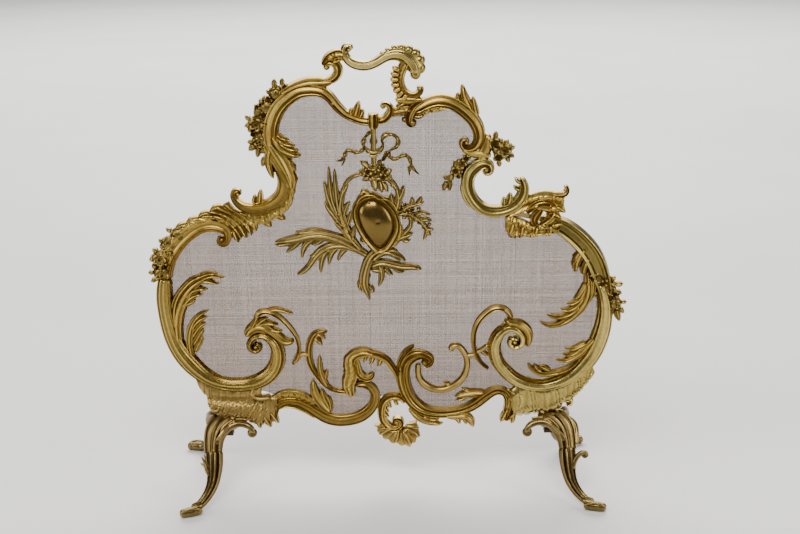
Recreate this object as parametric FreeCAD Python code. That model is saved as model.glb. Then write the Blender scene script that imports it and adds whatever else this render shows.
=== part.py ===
import FreeCAD, Part
import math
import os

# A rococo fire screen in gilt brass: cast scroll frame, wire cloth panel behind it,
# trophy in the middle, two foot castings. Millimetres, Z up, front faces -Y, floor at Z = 0.

V = FreeCAD.Vector

# ---- driving dimensions ----
CENTRE_SHIFT_X = -2.5       # sets the box of the whole screen over the origin
CENTRE_SHIFT_Y = 3.9
RAIL_RELIEF = 13.0          # how far the frame mouldings stand forward of the wire cloth
BIG_SCROLL_RELIEF = 16.0
SHELL_RELIEF = 9.0
LEAF_RELIEF = 8.0
TENDRIL_RELIEF = 7.0
CLOTH_THICKNESS = 0.8
STRIP_THICKNESS = 1.6
STRIP_WIDTH = 8.0
SCREW_RADIUS = 1.5
SCREW_LENGTH = 7.0
SCREW_HEAD_RADIUS = 2.8
SCREW_HEAD_HEIGHT = 1.8
CORNER_BLOCK_BACK = 9.0     # the corner blocks are deeper than the rest, to carry the feet
CORNER_BLOCK_FRONT = -17.0
FOOT_X = 258.0              # foot bolt, left and right of the centre line
FOOT_BOLT_RADIUS = 4.0
FOOT_BOLT_TOP = 141.0
HUB_TOP = 106.0
HUB_BOTTOM = 86.0
HUB_RADIUS = 17.0
LEFT_FOOT_TURN = 7.0        # the left foot has settled a few degrees round its bolt
TOE_RADIUS = 7.6
TOE_HEIGHT = 7.0            # axis of the toe above the floor, less than its radius
TOE_LENGTH = 21.0
STATION_STEP = 7.0          # about how far apart the sections of a moulding are

# moulding sections: (across, forward), across from -1 to 1 of half the width
ROLL = [(-1, 0), (-1, 0.45), (-0.62, 0.85), (0, 1), (0.62, 0.85), (1, 0.45), (1, 0)]
FLUTE = [(-1, 0), (-1, 0.5), (-0.7, 0.95), (-0.25, 0.7), (0.25, 1), (0.7, 0.95), (1, 0.5), (1, 0)]
HOLLOW = [(-1, 0), (-1, 0.75), (-0.78, 1), (-0.4, 0.6), (0.1, 0.5), (0.6, 0.85), (1, 0.6), (1, 0)]
BLADE = [(-1, 0), (-0.85, 0.5), (0, 1), (0.85, 0.5), (1, 0)]
FLAT = [(-1, 0), (-1, 1), (1, 1), (1, 0)]

placed = []                 # (solid, box) of every piece made so far
parts = []                  # (name, shape)


# ---- shaping ----
def smooth_line(points, closed=False):
    """a smooth curve through (x, z) points in the plane of the screen"""
    curve = Part.BSplineCurve()
    curve.interpolate([V(p[0], 0, p[1]) for p in points], PeriodicFlag=closed)
    return curve


def between(value, keys, values):
    for k in range(len(keys) - 1):
        if value <= keys[k + 1]:
            part = (value - keys[k]) / (keys[k + 1] - keys[k])
            return values[k] + (values[k + 1] - values[k]) * part
    return values[-1]


def moulding(points, relief, section=ROLL, back=0.0):
    """a bar of the given section along the smooth line through (x, z, width) points;
    it thins a little towards its narrow ends"""
    curve = smooth_line(points)
    knots = [curve.parameter(V(p[0], 0, p[1])) for p in points]
    widths = [p[2] for p in points]
    widest = max(widths)
    length = curve.length()
    steps = max(3, int(length / STATION_STEP))
    wires = []
    for step in range(steps + 1):
        t = curve.parameterAtDistance(length * step / steps, knots[0])
        width = between(t, knots, widths)
        height = relief * (0.45 + 0.55 * min(1.0, width / (0.6 * widest)))
        place = curve.value(t)
        along = curve.tangent(t)[0]
        across = V(-along.z, 0, along.x)
        ring = [place + across * (a * width / 2) + V(0, back - f * height, 0) for a, f in section]
        wires.append(Part.makePolygon(ring + ring[:1]))
    return Part.makeLoft(wires, True, False)


def blade(points, relief=LEAF_RELIEF, back=0.0):
    """one lobe of a leaf"""
    return moulding(points, relief, BLADE, back)


def disc(x, z, radius, relief, back=0.0):
    """a button, such as the eye of a volute: a short cylinder with a dished edge"""
    base = Part.makeCylinder(radius, relief * 0.6, V(x, back, z), V(0, -1, 0))
    crown = Part.makeCone(radius, radius * 0.55, relief * 0.4, V(x, back - relief * 0.6, z), V(0, -1, 0))
    return base.fuse(crown)


def joined(shapes):
    """one casting from overlapping shapes"""
    return shapes[0].multiFuse(shapes[1:])


def flower(x, z, radius, relief=11.0, back=0.0):
    """five round petals about a raised heart, flat at the back"""
    heart = Part.makeCone(radius * 0.5, radius * 0.2, relief, V(x, back, z), V(0, -1, 0))
    petals = []
    for k in range(5):
        angle = math.radians(90 + 72 * k)
        px = x + radius * 0.55 * math.cos(angle)
        pz = z + radius * 0.55 * math.sin(angle)
        petals.append(Part.makeCone(radius * 0.45, radius * 0.25, relief * 0.7, V(px, back, pz), V(0, -1, 0)))
    return joined([heart] + petals)


def bud(x0, z0, x1, z1, width, relief=8.0, back=0.0):
    """a pointed bud or small leaf from its stalk to its tip"""
    mx = (x0 + x1) / 2
    mz = (z0 + z1) / 2
    return blade([(x0, z0, width * 0.6), (mx, mz, width), (x1, z1, width * 0.25)], relief, back)


def solids_of(shape, keep=0.06):
    """the solids worth keeping after a cut: the slivers are dropped"""
    found = sorted(shape.Solids, key=lambda s: -s.Volume)
    return [s for s in found if s.Volume > keep * found[0].Volume]


def fitted(shape):
    """the shape cut back to clear every piece that is already in place"""
    own_box = shape.optimalBoundingBox(False, False)
    for other, box in placed:
        if own_box.intersect(box):
            rest = shape.cut(other)
            if rest.Solids:
                shape = rest
    return shape


def add(name, shape, keep=0.06):
    """fits a piece against the pieces already in place, and keeps it"""
    kept = solids_of(fitted(shape), keep)
    for solid in kept:
        placed.append((solid, solid.optimalBoundingBox(False, False)))
    parts.append((name, kept[0] if len(kept) == 1 else Part.makeCompound(kept)))


def add_group(name, shapes, keep=0.06):
    """several solids that share one node"""
    kept = []
    for shape in shapes:
        kept += solids_of(fitted(shape), keep)[:1]
        placed.append((kept[-1], kept[-1].optimalBoundingBox(False, False)))
    parts.append((name, Part.makeCompound(kept)))


# ---- screws first, so that every casting is bored to fit them ----
CLOTH_BACK = CLOTH_THICKNESS
STRIP_BACK = CLOTH_BACK + STRIP_THICKNESS
STRIPS = {
    "top_left": [(-160, 560), (-166, 585), (-157, 610), (-138, 629), (-108, 637), (-84, 631), (-66, 611), (-42, 595)],
    "top_right": [(10, 600), (34, 607), (54, 614), (78, 620), (102, 615), (124, 600), (137, 580), (139, 562)],
    "right_upper": [(126, 484), (140, 461), (162, 452), (184, 454), (204, 446), (236, 438), (262, 428), (288, 411),
                    (310, 386), (324, 358)],
    "right_lower": [(338, 292), (338, 266), (331, 238), (314, 206), (289, 180), (256, 166)],
    "bottom_right": [(186, 154), (168, 153), (148, 140), (124, 124), (98, 118), (66, 120), (44, 132)],
    "bottom_left": [(-24, 132), (-42, 114), (-70, 107), (-98, 111), (-122, 125), (-146, 138), (-166, 139)],
    "left_lower": [(-228, 169), (-262, 172), (-292, 187), (-316, 212), (-334, 246), (-342, 282), (-345, 320)],
    "left_upper": [(-338, 366), (-322, 398), (-298, 420), (-268, 433), (-240, 436), (-208, 438), (-182, 448),
                   (-160, 466), (-152, 492)],
}


def strip_screw_places():
    """one screw at each end of a strip and one near its middle, set in from the ends"""
    places = []
    for line in STRIPS.values():
        curve = smooth_line(line)
        for share in (0.07, 0.5, 0.93):
            t = curve.parameterAtDistance(curve.length() * share, curve.FirstParameter)
            places.append(curve.value(t))
    return places


def screw(x, z, back, length=SCREW_LENGTH):
    shank = Part.makeCylinder(SCREW_RADIUS, length, V(x, back, z), V(0, -1, 0))
    head = Part.makeCylinder(SCREW_HEAD_RADIUS, SCREW_HEAD_HEIGHT, V(x, back, z), V(0, 1, 0))
    slot = Part.makeBox(2 * SCREW_HEAD_RADIUS, 0.8, 0.8,
                        V(x - SCREW_HEAD_RADIUS, back + SCREW_HEAD_HEIGHT - 0.6, z - 0.4))
    return shank.fuse(head).cut(slot)


add_group("strip_screws", [screw(p.x, p.z, STRIP_BACK) for p in strip_screw_places()])


def foot_bolt(x):
    """square-headed bolt, up through the hub into the corner block"""
    across = 1.7 * FOOT_BOLT_RADIUS
    head = Part.makeBox(2 * across, 2 * across, 5, V(x - across, -across, HUB_BOTTOM - 5))
    shank = Part.makeCylinder(FOOT_BOLT_RADIUS, FOOT_BOLT_TOP - HUB_BOTTOM, V(x, 0, HUB_BOTTOM))
    return head.fuse(shank)


add_group("foot_bolts", [foot_bolt(-FOOT_X), foot_bolt(FOOT_X)])

# ---- corner blocks ----
CORNER_LEFT = [(-292, 170), (-290, 157), (-282, 148), (-281, 140), (-273, 137), (-276, 125), (-272, 114),
               (-266, 107), (-246, 108), (-230, 107), (-214, 98), (-198, 100), (-181, 101), (-182, 113),
               (-184, 130), (-186, 150), (-200, 148), (-210, 151), (-213, 160), (-212, 168), (-250, 168)]
CORNER_RIGHT = [(209, 152), (214, 146), (208, 128), (209, 116), (223, 114), (244, 113), (259, 113), (271, 118),
                (279, 129), (283, 137), (294, 140), (300, 143), (301, 152), (308, 158), (310, 168), (318, 174),
                (325, 186), (300, 186), (262, 168), (222, 166)]


def plate(outline, front):
    face = Part.Face(Part.makePolygon([V(x, 0, z) for x, z in outline + outline[:1]]))
    return face.extrude(V(0, front, 0))


def lug(x_from, x_to):
    """the thick back of a corner block, bored for the foot bolt"""
    return Part.makeBox(x_to - x_from, CORNER_BLOCK_BACK, 34, V(x_from, 0, 114))


def corner_ribs(x_from, x_to, count, z_low, z_high, lean):
    """half-round ribs down the front of a corner block"""
    ribs = []
    for k in range(count):
        x = x_from + (x_to - x_from) * k / (count - 1)
        start = V(x, CORNER_BLOCK_FRONT + 1.0, z_low)
        end = V(x + lean, CORNER_BLOCK_FRONT + 1.0, z_high)
        ribs.append(Part.makeCylinder(2.6, (end - start).Length, start, end - start))
    return ribs


# ---- big lower scrolls ----
LOWER_SCROLL_LEFT = [
    (-342, 352, 20), (-345, 325, 26), (-345, 300, 26), (-342, 275, 27), (-337, 252, 28), (-327, 228, 30),
    (-311, 205, 31), (-290, 185, 27), (-264, 172, 24), (-238, 169, 24), (-212, 173, 25), (-190, 185, 26),
    (-177, 203, 26), (-173, 222, 24), (-177, 240, 21), (-189, 252, 17), (-203, 254, 13), (-213, 247, 10),
    (-215, 237, 8)]
LOWER_SCROLL_RIGHT = [
    (209, 231, 8), (214, 240, 11), (212, 251, 14), (204, 260, 16), (192, 263, 18), (181, 258, 19),
    (172, 246, 21), (168.5, 232, 22), (170, 217, 22), (176, 202, 22), (187, 188, 22), (200, 176, 22),
    (216, 167.5, 22), (233, 163.5, 22), (251, 163.5, 22), (268, 167.5, 24), (285, 175.5, 26),
    (300, 187, 29), (313, 202, 30), (324, 219, 30), (331, 236, 30), (336, 253, 29), (339, 270, 27),
    (340, 288, 23), (339, 306, 18)]
add("lower_scroll_left", joined([
    moulding(LOWER_SCROLL_LEFT, BIG_SCROLL_RELIEF, FLUTE),
    disc(-208, 234, 8, 13)]))
add("lower_scroll_right", joined([
    moulding(LOWER_SCROLL_RIGHT, BIG_SCROLL_RELIEF, FLUTE),
    disc(200, 237, 9, 14)]))

# ---- apron along the bottom ----
APRON_LEFT = [
    (-178, 119, 8), (-177.5, 131, 12), (-170, 139, 13), (-158, 140, 13), (-145, 138.5, 13), (-131, 132, 14),
    (-118, 123, 16), (-104, 114, 18), (-88, 108, 19), (-72, 106, 19), (-56, 108.5, 19), (-40, 115, 19),
    (-27, 127, 18), (-20.5, 143, 17), (-23, 158, 16), (-32, 167, 14), (-42, 170, 12), (-51, 168, 8)]
APRON_RIGHT = [
    (66, 203, 9), (69, 211, 10), (62, 217, 12), (52, 220, 14), (40, 218, 18), (30, 210, 21), (25.5, 199, 22),
    (24, 185, 22), (25.5, 170, 22), (30, 154, 22), (38, 139, 22), (50, 127, 21), (65, 120, 19), (82, 117.5, 18),
    (100, 118, 18), (118, 122, 18), (134, 129, 18), (148, 139, 18), (160, 149, 17), (172, 155.5, 16),
    (184, 154, 15), (191, 145, 15), (193, 132, 15), (190.5, 119, 14), (187, 105, 8)]
add("apron_scroll_left", moulding(APRON_LEFT, RAIL_RELIEF, FLUTE))
add("apron_scroll_right", joined([
    moulding(APRON_RIGHT, RAIL_RELIEF, FLUTE),
    blade([(24, 212, 10), (31, 228, 8), (41, 236, 3)], 10)]))
add("apron_ear_scroll", joined([
    moulding([(16, 180, 9), (8, 196, 10), (-1, 209, 10), (-14, 218, 10), (-28, 221.5, 10), (-42, 219.5, 10),
              (-52, 212, 11), (-56, 201, 13)], 11),
    moulding([(-60, 206, 8), (-58, 192, 16), (-60, 176, 18), (-60, 161, 15), (-56, 150, 6)], 12, BLADE),
    moulding([(-56, 196, 10), (-45, 185, 12), (-33, 180, 8)], 11),
    blade([(-24, 216, 8), (-26, 208, 3)]),
    blade([(-12, 212, 8), (-15, 205, 3)])]))
add("apron_ring_scroll", joined([
    moulding([(22, 141, 7), (14, 145.5, 8), (4, 145, 9), (-4, 139, 10), (-8.5, 130, 10), (-9.5, 118, 10),
              (-7, 105, 10), (-1, 95, 10), (8, 91, 9), (17, 94, 8), (21, 102, 6)], 11),
    disc(16, 106, 5, 9)]))


def fan(centre, tips, inner, width, relief):
    """ribs that spread from a centre to a scalloped edge"""
    ribs = []
    for x, z in tips:
        dx = x - centre[0]
        dz = z - centre[1]
        reach = math.hypot(dx, dz)
        start = (centre[0] + dx / reach * inner, centre[1] + dz / reach * inner)
        middle = ((start[0] + x) / 2, (start[1] + z) / 2)
        ribs.append(blade([(start[0], start[1], width * 0.7), (middle[0], middle[1], width),
                           (x, z, width * 0.5)], relief))
    return ribs


add("apron_shell_centre", joined(
    [disc(22, 86, 17, 7)]
    + fan((22, 92), [(-23, 97), (-16, 85), (-7, 73), (5, 66), (20, 60), (33, 58), (41, 66), (50, 77), (48, 92),
                     (45, 102)], 10, 11, SHELL_RELIEF)))
add("apron_leaf_left", joined([
    blade([(-96, 128, 8), (-108, 141, 15), (-116, 158, 13), (-119, 177, 4)]),
    blade([(-98, 131, 8), (-102, 148, 8), (-105, 160, 3)]),
    moulding([(-184, 149, 6), (-172, 152, 11), (-160, 155, 13), (-148, 155, 13), (-136, 151, 11),
              (-120, 144, 7)], SHELL_RELIEF, BLADE)]))
add_group("apron_leaves_right", [
    joined([
        blade([(152, 152, 7), (137, 151, 12), (124, 150, 13), (109, 147, 5)]),
        blade([(128, 150, 9), (122, 156, 6), (118, 160, 3)])]),
    joined([
        blade([(98, 110, 8), (113, 110, 12), (126, 110, 14), (134, 102, 11), (137, 93, 4)]),
        blade([(106, 110, 8), (108, 101, 3)])]),
    blade([(36, 124, 6), (47, 111, 9), (60, 104, 9), (74, 100.5, 8), (86, 101, 4)])])

# ---- corner blocks, fitted under the scrolls ----
add("corner_block_left", joined(
    [plate(CORNER_LEFT, CORNER_BLOCK_FRONT), lug(-276, -190), disc(-278, 134, 4.5, 12)]
    + corner_ribs(-268, -196, 13, 112, 144, 3)))
add("corner_block_right", joined(
    [plate(CORNER_RIGHT, CORNER_BLOCK_FRONT), lug(212, 278), disc(290, 137, 4.5, 12)]
    + corner_ribs(216, 276, 11, 118, 146, -3)))

# ---- side rails and waist ----
add("side_rail_upper_left", joined([
    moulding([(-249, 411, 8), (-241, 413, 12), (-242, 424, 16), (-254, 432, 19), (-270, 434, 21),
              (-286, 429.5, 21), (-300, 420, 21), (-312, 409, 21), (-323, 396, 21), (-331, 383, 21),
              (-337, 368, 21), (-341, 352, 20)], RAIL_RELIEF),
    disc(-250, 411, 8, 11),
    moulding([(-262, 449, 6), (-276, 446, 10), (-293, 439, 11), (-306, 430, 12), (-319, 418, 12), (-331, 405, 13),
              (-341, 392, 13), (-347, 378, 10)], 7, BLADE)]))
add("side_rail_upper_right", joined([
    moulding([(238, 438, 18), (252, 433, 25), (268, 426, 28), (284, 415, 30), (299, 401, 31), (312, 385, 32),
              (321, 369, 32), (328, 352, 30), (334, 336, 26), (337.5, 320, 20), (339, 307.5, 18)],
             BIG_SCROLL_RELIEF, HOLLOW),
    blade([(296, 382, 10), (292, 368, 8), (292, 356, 3)])]))
add("waist_scroll_left", joined([
    moulding([(-226, 486, 9), (-227, 479, 10), (-222, 469, 14), (-211, 462, 17), (-198, 460, 20), (-184, 462, 21),
              (-170, 468, 22), (-158, 479, 22), (-152.5, 494, 21), (-154, 508, 17), (-161, 520, 9)], RAIL_RELIEF,
             FLUTE),
    disc(-224, 488, 6.5, 10),
    blade([(-191, 464, 8), (-188, 476, 7), (-187, 488, 2)])]))
add("waist_scroll_right", joined([
    moulding([(157, 517, 7), (158, 524, 9), (149, 528.5, 12), (138, 524.5, 15), (128.5, 514, 17), (124, 500, 18),
              (125.5, 485, 18), (132, 471, 18), (142, 459.5, 19), (157, 452.5, 20), (174, 452, 20), (190, 457, 19),
              (202, 466, 16), (208, 479, 14), (208, 493, 9), (204, 504, 4)], RAIL_RELIEF, FLUTE),
    disc(155, 518, 6, 10),
    blade([(186, 460, 7), (188, 468, 6), (188, 477, 2)])]))
add("waist_shell_left", joined([
    moulding([(-262, 446, 8), (-246, 444, 20), (-230, 442, 24), (-214, 441, 22), (-196, 445, 18), (-178, 452, 16),
              (-162, 464, 14), (-148, 480, 12), (-143, 494, 6)], SHELL_RELIEF, BLADE),
    blade([(-238, 440, 14), (-230, 425, 13), (-225, 411, 5)]),
    blade([(-224, 440, 12), (-215, 426, 11), (-209, 413, 5)]),
    blade([(-206, 444, 10), (-202, 432, 8), (-197, 426, 3)])]))
add("waist_shell_right", joined([
    moulding([(194, 446, 8), (206, 456, 14), (220, 466, 16), (236, 472, 16), (250, 473, 13), (260, 475, 8),
              (266, 483, 4)], 11, BLADE),
    disc(266, 476, 4.5, 9),
    blade([(232, 468, 10), (248, 460, 13), (266, 456, 6)], 10),
    moulding([(184, 433, 10), (196, 434, 16), (206, 428, 12), (222, 430, 16), (234, 430, 12)], SHELL_RELIEF, BLADE),
    blade([(234, 466, 8), (226, 452, 11), (224, 440, 8), (226, 432, 6)], 9),
    blade([(192, 432, 11), (188, 414, 5)]),
    blade([(202, 428, 10), (202, 411, 5)]),
    blade([(218, 428, 11), (216, 412, 5)]),
    blade([(232, 428, 10), (231, 413, 4)]),
    blade([(238, 430, 9), (249, 416, 4)])]))

# ---- shoulders and crest ----
add("crest_clasp", joined([
    Part.makeBox(13, 16, 19, V(-23, -16, 582)),
    Part.makeCylinder(3, 19, V(-16.5, -16, 582))]))
add("crest_rail_left", joined([
    moulding([(-166, 556, 20), (-168, 572, 24), (-167, 588, 25), (-161, 604, 24), (-151, 618, 23), (-138, 629, 22),
              (-123, 636.5, 21), (-107, 638, 22), (-93, 637, 19), (-81, 629, 17), (-72, 618, 15), (-65, 608, 15),
              (-58, 602, 14), (-47, 597, 14), (-35, 592.5, 14), (-23, 591, 14)], RAIL_RELIEF, FLUTE),
    blade([(-122, 642, 10), (-104, 648, 9), (-86, 652, 5)]),
    blade([(-41, 598, 10), (-39, 609, 9), (-37, 619, 3)])]))
add("crest_hook", moulding([(-10, 591.5, 14), (-2, 593.5, 13), (5, 599, 12), (8.5, 607, 11), (6.5, 614, 9),
                            (1, 617, 7), (-3, 614, 5)], 12))
add("crest_arch_right", joined([
    moulding([(44, 606, 17), (56, 614, 19), (70, 620, 21), (86, 621, 21), (102, 616, 21), (117, 606, 21),
              (130, 593, 20), (138, 579, 20), (141, 566, 19), (137, 555, 15), (128, 549, 11), (119, 550, 8)],
             RAIL_RELIEF, FLUTE),
    disc(117, 556, 8, 11),
    blade([(124, 614, 12), (117, 628, 10), (114, 644, 3)]),
    blade([(133, 602, 10), (132, 615, 8), (130, 625, 3)]),
    blade([(60, 612, 8), (70, 606, 7), (84, 609, 3)])]))
add("crest_link", joined([
    moulding([(12, 606, 14), (22, 607, 16), (33, 607, 16), (44, 606, 14)], 11, BLADE),
    moulding([(46, 616, 9), (38, 607, 13), (34.5, 597, 11), (38, 588, 8)], 12),
    disc(39, 588, 5, 9),
    disc(30, 592, 4, 8),
    blade([(40, 602, 8), (49, 600, 6), (56, 603, 3)])]))
add("shoulder_leaf_left", joined([
    moulding([(-170, 560, 16), (-163, 545, 24), (-154, 530, 24), (-147, 515, 20), (-143, 500, 14),
              (-144, 489, 6)], 11, BLADE),
    blade([(-160, 566, 12), (-152, 553, 14), (-139, 544, 10), (-124, 542, 4)]),
    blade([(-154, 566, 8), (-143, 566, 3)]),
    blade([(-152, 560, 9), (-143, 559, 7), (-135, 558, 3)]),
    blade([(-166, 540, 10), (-170, 525, 9), (-167, 508, 4)])]))
add("shoulder_cap_right", joined([
    moulding([(150, 566, 8), (150, 556, 18), (146, 544, 22), (142, 534, 16), (141, 528, 8)], 11, BLADE),
    blade([(140, 548, 10), (130, 541, 9), (122, 536, 4)])]))
add("handle_scroll", joined(
    [moulding([(-52, 697, 9), (-55, 690, 9), (-51, 680, 12), (-42, 674, 14), (-27, 672, 14), (-13, 676, 14),
               (-2, 683, 15), (9, 688.5, 17), (22.5, 690, 18), (33, 686, 18), (40, 678, 16), (44.5, 669, 13),
               (44.5, 660, 8)], 14),
     disc(-52, 697, 6, 11)]
    + [disc(x, z, 5.5, 9) for x, z in [(20, 694), (30, 693), (39, 689), (45, 683), (49, 675), (50, 666)]]))
add("handle_left_scroll", joined([
    moulding([(-88, 651, 10), (-77, 652, 12), (-69, 658, 12), (-68, 667, 12), (-74, 675, 10), (-82, 674, 7)], 12),
    blade([(-84, 670, 8), (-72, 681, 11), (-60, 689, 6)], 10)]))
add("handle_right_scroll", joined(
    [moulding([(30, 680, 10), (25, 665, 12), (21, 654, 13), (22.5, 644, 13), (27, 634, 13), (36, 628, 12),
               (46, 629, 10), (53, 634, 7)], 12),
     disc(54, 636, 5, 9)]
    + [disc(x, z, 5, 8) for x, z in [(14, 657), (13.5, 648), (17, 638)]]))

# ---- acanthus leaves and tendrils ----
add("acanthus_left_large", joined([
    blade([(-320, 204, 6), (-325, 235, 14), (-328, 268, 20), (-324, 300, 24), (-312, 325, 22), (-297, 342, 16),
           (-276, 354, 10), (-256, 352, 4)], 12),
    blade([(-318, 312, 14), (-300, 326, 11), (-281, 331, 4)], 10),
    blade([(-322, 298, 12), (-306, 314, 10), (-293, 322, 4)], 9)]))
add("acanthus_left_small", joined([
    blade([(-306, 222, 8), (-308, 246, 12), (-304, 272, 13), (-293, 288, 9), (-277, 297, 3)], 9),
    blade([(-306, 262, 11), (-296, 276, 9), (-283, 288, 3)]),
    blade([(-306, 248, 10), (-296, 262, 8), (-285, 277, 3)]),
    blade([(-306, 234, 9), (-299, 247, 7), (-290, 262, 3)])]))
add("scroll_leaf_left", joined([
    blade([(-222, 258, 7), (-212, 266, 15), (-196, 267, 18), (-180, 258, 15), (-165, 246, 13), (-150, 246, 7)], 10),
    blade([(-200, 268, 10), (-184, 273, 9), (-172, 271, 3)]),
    blade([(-206, 266, 10), (-204, 276, 8), (-202, 286, 4)])]))
add_group("scroll_leaves_right", [
    blade([(222, 238, 7), (219, 252, 11), (210, 266, 13), (198, 273, 12), (189, 276, 5)], 10),
    blade([(298, 203, 6), (283, 192, 9), (264, 185, 10), (246, 184, 10), (232, 190, 8), (223, 200, 3)])])
add("acanthus_right_large", joined([
    blade([(305, 356, 8), (308, 338, 15), (308, 318, 18), (302, 300, 18), (290, 284, 16), (274, 272, 13),
           (256, 267, 9), (241, 273, 3)], 12),
    blade([(300, 298, 13), (279, 284, 10), (259, 287, 3)], 10),
    blade([(305, 314, 12), (292, 301, 9), (276, 297, 3)], 9),
    blade([(306, 326, 10), (297, 311, 7), (285, 306, 3)])]))
add("acanthus_right_small", joined([
    blade([(322, 242, 8), (311, 227, 13), (297, 215, 13), (282, 208, 10), (267, 210, 3)], 9),
    blade([(310, 232, 9), (296, 227, 8), (281, 227, 3)])]))
add("tendril_left_outer", joined([
    moulding([(-203, 284, 6), (-196, 291, 9), (-182, 291, 9), (-168, 282, 8), (-157, 271, 7), (-149, 261, 6.5),
              (-143, 250, 6), (-140, 238, 6), (-140, 226, 6), (-143, 213, 6), (-149, 206, 4)], TENDRIL_RELIEF),
    blade([(-184, 292, 7), (-163, 293, 7), (-146, 289, 3)], 6)]))
add("tendril_left_inner", joined([
    moulding([(-96, 258, 4), (-107, 257, 9), (-117, 251, 11), (-123, 238, 12), (-124.5, 222, 12), (-123, 207, 11),
              (-118, 193, 9), (-110, 180, 8), (-100, 168, 8), (-88, 160, 8), (-76, 156.5, 8), (-66, 155, 8)],
             TENDRIL_RELIEF),
    blade([(-106, 219, 4), (-107, 206, 8), (-105, 193, 9), (-99, 180, 8), (-92, 168, 7)], 6),
    moulding([(-126, 219, 8), (-132, 220.5, 7), (-138, 219, 7)], 6)]))
add("tendril_right_lower", moulding([
    (48.6, 200, 7), (48.6, 186, 8), (53, 174, 8), (62, 164, 8), (75, 158.5, 8), (89.5, 158.5, 8), (103, 163, 8),
    (114.5, 171.5, 7.5), (122, 183, 7.5), (125.6, 195, 7.5), (125.6, 207, 7.5), (122, 218.4, 7), (116, 228.6, 7),
    (109, 234, 6), (101.5, 231, 4)], TENDRIL_RELIEF))
add("tendril_right_upper", joined([
    moulding([(158.6, 195, 5), (150, 200.6, 6), (143, 210.5, 7), (139, 220, 7), (136, 233, 7.5), (135.5, 247, 7.5),
              (137.6, 261, 8), (143, 273.5, 9), (150, 283, 9), (160, 291.5, 10), (170, 295.5, 10), (180, 295, 9),
              (187, 291, 7), (190, 284, 6), (191, 275, 6)], TENDRIL_RELIEF),
    moulding([(122, 213, 7), (130, 216, 9), (138, 217, 7)], 6),
    moulding([(139, 221, 7), (149, 226, 6), (158, 233, 8)], 6)]))

# ---- flower clusters ----
add_group("flowers_shoulder_left", [
    joined([flower(-190, 588, 12, 13), bud(-196, 587, -206, 586, 7), bud(-190, 600, -185, 614, 9)]),
    joined([flower(-166, 634, 8.5), bud(-164, 640, -160, 653, 6), bud(-170, 628, -178, 622, 8)]),
    joined([flower(-186, 565, 10.5, 12), bud(-192, 556, -201, 547, 8), bud(-187, 556, -190, 537, 8)]),
    bud(-176, 530, -184, 522, 8)])
add_group("flowers_side_left", [
    joined([flower(-347, 382, 11.5, 12), bud(-354, 381, -362, 379, 9)]),
    joined([flower(-347, 356, 12.5, 13), bud(-356, 359, -367, 358, 7), bud(-354, 350, -363, 346, 6)]),
    flower(-333, 410, 8, 9),
    flower(-319, 421, 7, 9)])
add_group("flowers_shoulder_right", [
    joined([flower(163, 557, 9, 11), bud(164, 560, 164, 569, 6)]),
    joined([flower(177, 545, 10.5, 12), bud(182, 546, 190, 550, 6), bud(182, 538, 189, 526, 7)]),
    joined([flower(169, 534, 7.5, 10), bud(169, 530, 169, 523, 5)]),
    flower(113, 525, 7, 9),
    flower(104, 514, 6.5, 8),
    joined([bud(101, 509, 93, 497, 8), bud(97, 502, 85, 505, 6), bud(93, 497, 87, 485, 7),
            bud(95, 497, 95, 483, 6)])])
add_group("flowers_side_right", [
    flower(319, 346, 8.5, 20),
    joined([flower(344, 327, 14, 15), bud(353, 330, 364, 332, 8), bud(353, 321, 363, 318, 8)]),
    joined([flower(357, 300, 9, 12), bud(362, 302, 372, 303, 6), bud(360, 294, 369, 285, 7),
            bud(357, 292, 362, 270, 9)])])

# ---- feet ----
CABRIOLE = [  # x, y, z, width, thickness of the right front leg, hub to toe
    (264, -6, 96, 32, 18), (272, -20, 96, 36, 20), (280, -37, 88, 35, 19), (281, -51, 74, 31, 17),
    (282, -61, 57, 29, 15), (286, -70, 41, 22, 13), (294, -82, 25, 17, 11), (305, -97, 13, 15, 9),
    (314, -106, 8, 14, 8)]
LEG_SECTION = [(-1, -0.3), (-0.75, 0.75), (-0.35, 0.6), (0, 1), (0.35, 0.6), (0.75, 0.75), (1, -0.3), (0.6, -1),
               (-0.6, -1)]


def leg_bar(path, sideways=V(1, 0.25, 0)):
    """a fluted bar along a path in space, with its flutes up and forward; sideways is
    the way that its width lies"""
    curve = Part.BSplineCurve()
    curve.interpolate([V(*p[:3]) for p in path])
    knots = [curve.parameter(V(*p[:3])) for p in path]
    steps = 3 * len(path)
    wires = []
    for step in range(steps + 1):
        t = knots[0] + (knots[-1] - knots[0]) * step / steps
        width = between(t, knots, [p[3] for p in path])
        thick = between(t, knots, [p[4] for p in path])
        along = curve.tangent(t)[0]
        across = sideways - along * sideways.dot(along)
        across.normalize()
        out = along.cross(across)
        out = out * (-1 if out.z < out.y else 1)
        ring = [curve.value(t) + across * (a * width / 2) + out * (o * thick / 2) for a, o in LEG_SECTION]
        wires.append(Part.makePolygon(ring + ring[:1]))
    return Part.makeLoft(wires, True, False)


def toe():
    """a lying roll with rounded ends and a flat pad under it"""
    x, y = 319, -110
    reach = TOE_LENGTH / 2 + TOE_RADIUS
    profile = [(-reach, 0), (0.5 - reach, 2.4), (1.7 - reach, 4.6), (4 - reach, 6.6), (7 - reach, TOE_RADIUS)]
    outline = profile + [(-a, r) for a, r in reversed(profile)]
    along = V(0.97, -0.24, 0).normalize()
    centre = V(x, y, TOE_HEIGHT)
    half = Part.Face(Part.makePolygon([centre + along * a + V(0, 0, r) for a, r in outline + outline[:1]]))
    roll = half.revolve(centre, along, 360)
    floor = Part.makeBox(100, 100, 20, V(x - 50, y - 50, -20))
    return roll.cut(floor)


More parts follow.
